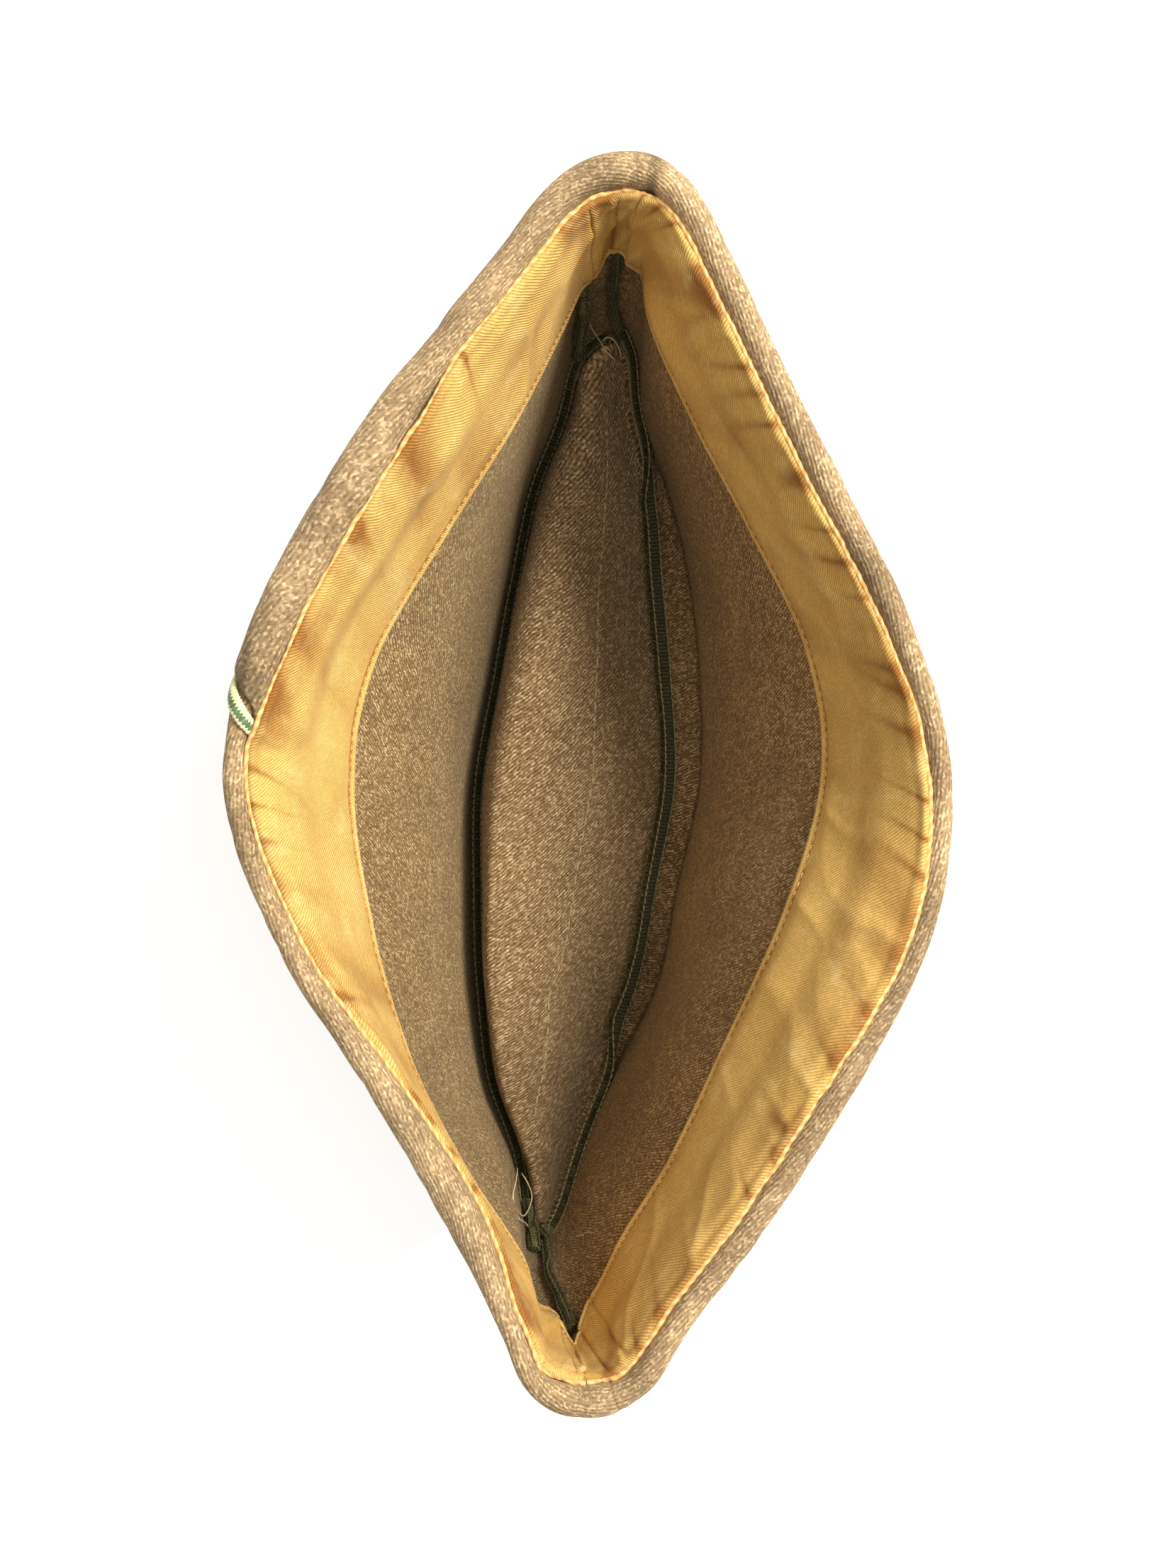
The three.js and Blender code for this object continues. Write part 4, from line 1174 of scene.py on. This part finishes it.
def crown_strip(start, end, lean, name, node, wide=ALLOWANCE):
    """Allowance on a crown seam: upright in its pocket towards the tips, leaning over the gusset by an
    angle in the middle, with a slow waver of its lean."""
    u = np.linspace(start, end, 420)
    side = inward(crown_plan, u)
    free = ease(at(seam_turn, u) * 2.5 - 0.2) if lean > 0 else 0 * u
    run = rim_run(u)
    tilt = np.radians(lean * free + 5 * free * waver(run / 17, 0 * u, 21))
    setting = -(CLOTH / 2 + ALLOWANCE_CLOTH / 2) * (1 - free)
    foot = raised(crown_plan(u) + side * (seam_reach(u) + setting)[:, None],
                  crown_rise(u) + CLOTH + GAP + ALLOWANCE_CLOTH / 2 * np.sin(tilt) + GAP)
    across = raised(side * np.sin(tilt)[:, None], np.cos(tilt))
    facing = raised(-side * np.cos(tilt)[:, None], np.sin(tilt))
    return strip(foot, across, facing, name, node, wide, light_olive_thread)


def wall_strip(route, side, name, node=None, wide=3.2):
    """Allowance lying along an end wall on a route of stations and depths, half turned to one side,
    with a waver of its turn."""
    depth = np.linspace(route[0, 1], route[-1, 1], 130)
    u = smoothed(np.interp(depth, route[:, 1], route[:, 0]), 17)
    u = u + 0.05 * waver(depth / 6, 0 * depth, 23) + 0.025 * waver(depth / 2.6, 0 * depth, 25)
    on_wall = wall_point(u, depth, 0 * depth - CLOTH / 2 - 2 * GAP)
    into = unit(wall_point(u, depth, 0 * depth - 4) - on_wall)
    beside = unit(np.cross(np.gradient(on_wall, axis=0), into)) * side
    turn = np.radians(25 + 45 * waver(depth / 7, 0 * depth, 22))[:, None]
    across = into * np.cos(turn) + beside * np.sin(turn)
    foot = on_wall - beside * wide / 2 * np.sin(turn)
    return strip(foot, across, into * np.sin(turn) - beside * np.cos(turn), name, node, wide, moss_thread)


left_seam = crown_strip(12.4, 23.6, 0, "overlock_left", "seam_left", 3.6)
right_seam = crown_strip(0.4, 11.6, 30, "overlock_right", "seam_right")
back_seam = wall_strip(BACK_RIGHT, 1, "overlock_back", "seam_back")
front_seam = wall_strip(FRONT_RIGHT, 1, "overlock_front", "seam_front")
left_seam += wall_strip(BACK_LEFT, -1, "overlock_left_back")
left_seam += wall_strip(FRONT_LEFT, 1, "overlock_left_front")


def loose_thread(name, places, thread):
    """Thin thread on a smooth curve through its places, tapering at both ends."""
    knots = np.array(places, float)
    t = np.linspace(0, len(knots) - 1.001, 12 * len(knots))
    padded = np.concatenate([2 * knots[:1] - knots[1:2], knots, 2 * knots[-1:] - knots[-2:-1]])
    i = np.floor(t).astype(int)
    f = (t - i)[:, None]
    path = through(*(padded[i + k] for k in range(4)), f)
    ups = np.broadcast_to(np.array([0.2, 0.3, 1.0]), path.shape)
    taper = thread * (0.4 + 0.6 * np.clip(np.minimum(t, t[-1] - t) * 2, 0, 1))
    return wear(tubes(name, path[None], ups[None], taper[None]), pale_thread)


loose = [loose_thread(name, places, LINT_THREAD if name == "lint" else LOOSE_THREAD)
         for name, places in LOOSE.items()]


# Floor, light and camera, in metres

FLOOR_SIZE = 4
FLOOR_GLOW = 0.45
WORLD_LIGHT = 0.4
VIEW_HEIGHT = 0.4159
VIEW_DISTANCE = 0.300
PICTURE_ROWS = 2212
PIXEL = 0.00014
SENSOR = 36.0

bpy.ops.mesh.primitive_plane_add(size=FLOOR_SIZE)
floor = bpy.context.object
floor.name = "floor"
paper, _, paper_shader = finish_of("pale_floor", 0.9, 0.0, "ffffff", 0.2)
paper_shader.inputs["Base Color"].default_value = tint("f7f6f4")
paper_shader.inputs["Emission Color"].default_value = (1.0, 1.0, 1.0, 1.0)
paper_shader.inputs["Emission Strength"].default_value = FLOOR_GLOW
floor.data.materials.append(paper)


# Lights: name, place, height aimed at, size, power, colour
LIGHTS = (
    ("key_from_the_right", (0.56, 0.34, 0.84), 0.06, 0.45, 19.0, (1.0, 0.97, 0.93)),
    ("fill_from_the_left", (-0.80, -0.10, 0.70), 0.06, 0.8, 1.0, (0.95, 0.97, 1.0)),
    ("top_light", (0.05, 0.0, 1.15), 0.05, 0.7, 3.0, (1.0, 0.99, 0.97)),
)

for name, place, aim, size, power, colour in LIGHTS:
    light = bpy.data.lights.new(name, "AREA")
    light.shape = "SQUARE"
    light.size = size
    light.energy = power
    light.color = colour
    lamp = bpy.data.objects.new(name, light)
    bpy.context.scene.collection.objects.link(lamp)
    way = np.array((0, 0, aim), float) - np.array(place, float)
    yaw = math.atan2(way[1], way[0])
    pitch = math.atan2(math.hypot(way[0], way[1]), -way[2])
    lamp.location = place
    lamp.rotation_euler = (pitch, 0, yaw - math.pi / 2)

world = bpy.data.worlds.new("studio")
world.use_nodes = True
world.node_tree.nodes["Background"].inputs["Color"].default_value = (1.0, 1.0, 1.0, 1.0)
world.node_tree.nodes["Background"].inputs["Strength"].default_value = WORLD_LIGHT
bpy.context.scene.world = world
bpy.context.scene.view_settings.view_transform = "Standard"

lens = bpy.data.cameras.new("view_from_above")
lens.sensor_width = SENSOR
lens.lens = SENSOR * VIEW_DISTANCE / (PICTURE_ROWS * PIXEL)
lens.clip_start = 0.01
camera = bpy.data.objects.new("view_from_above", lens)
camera.location = (0.0, 0.0, VIEW_HEIGHT)
bpy.context.scene.collection.objects.link(camera)
bpy.context.scene.camera = camera
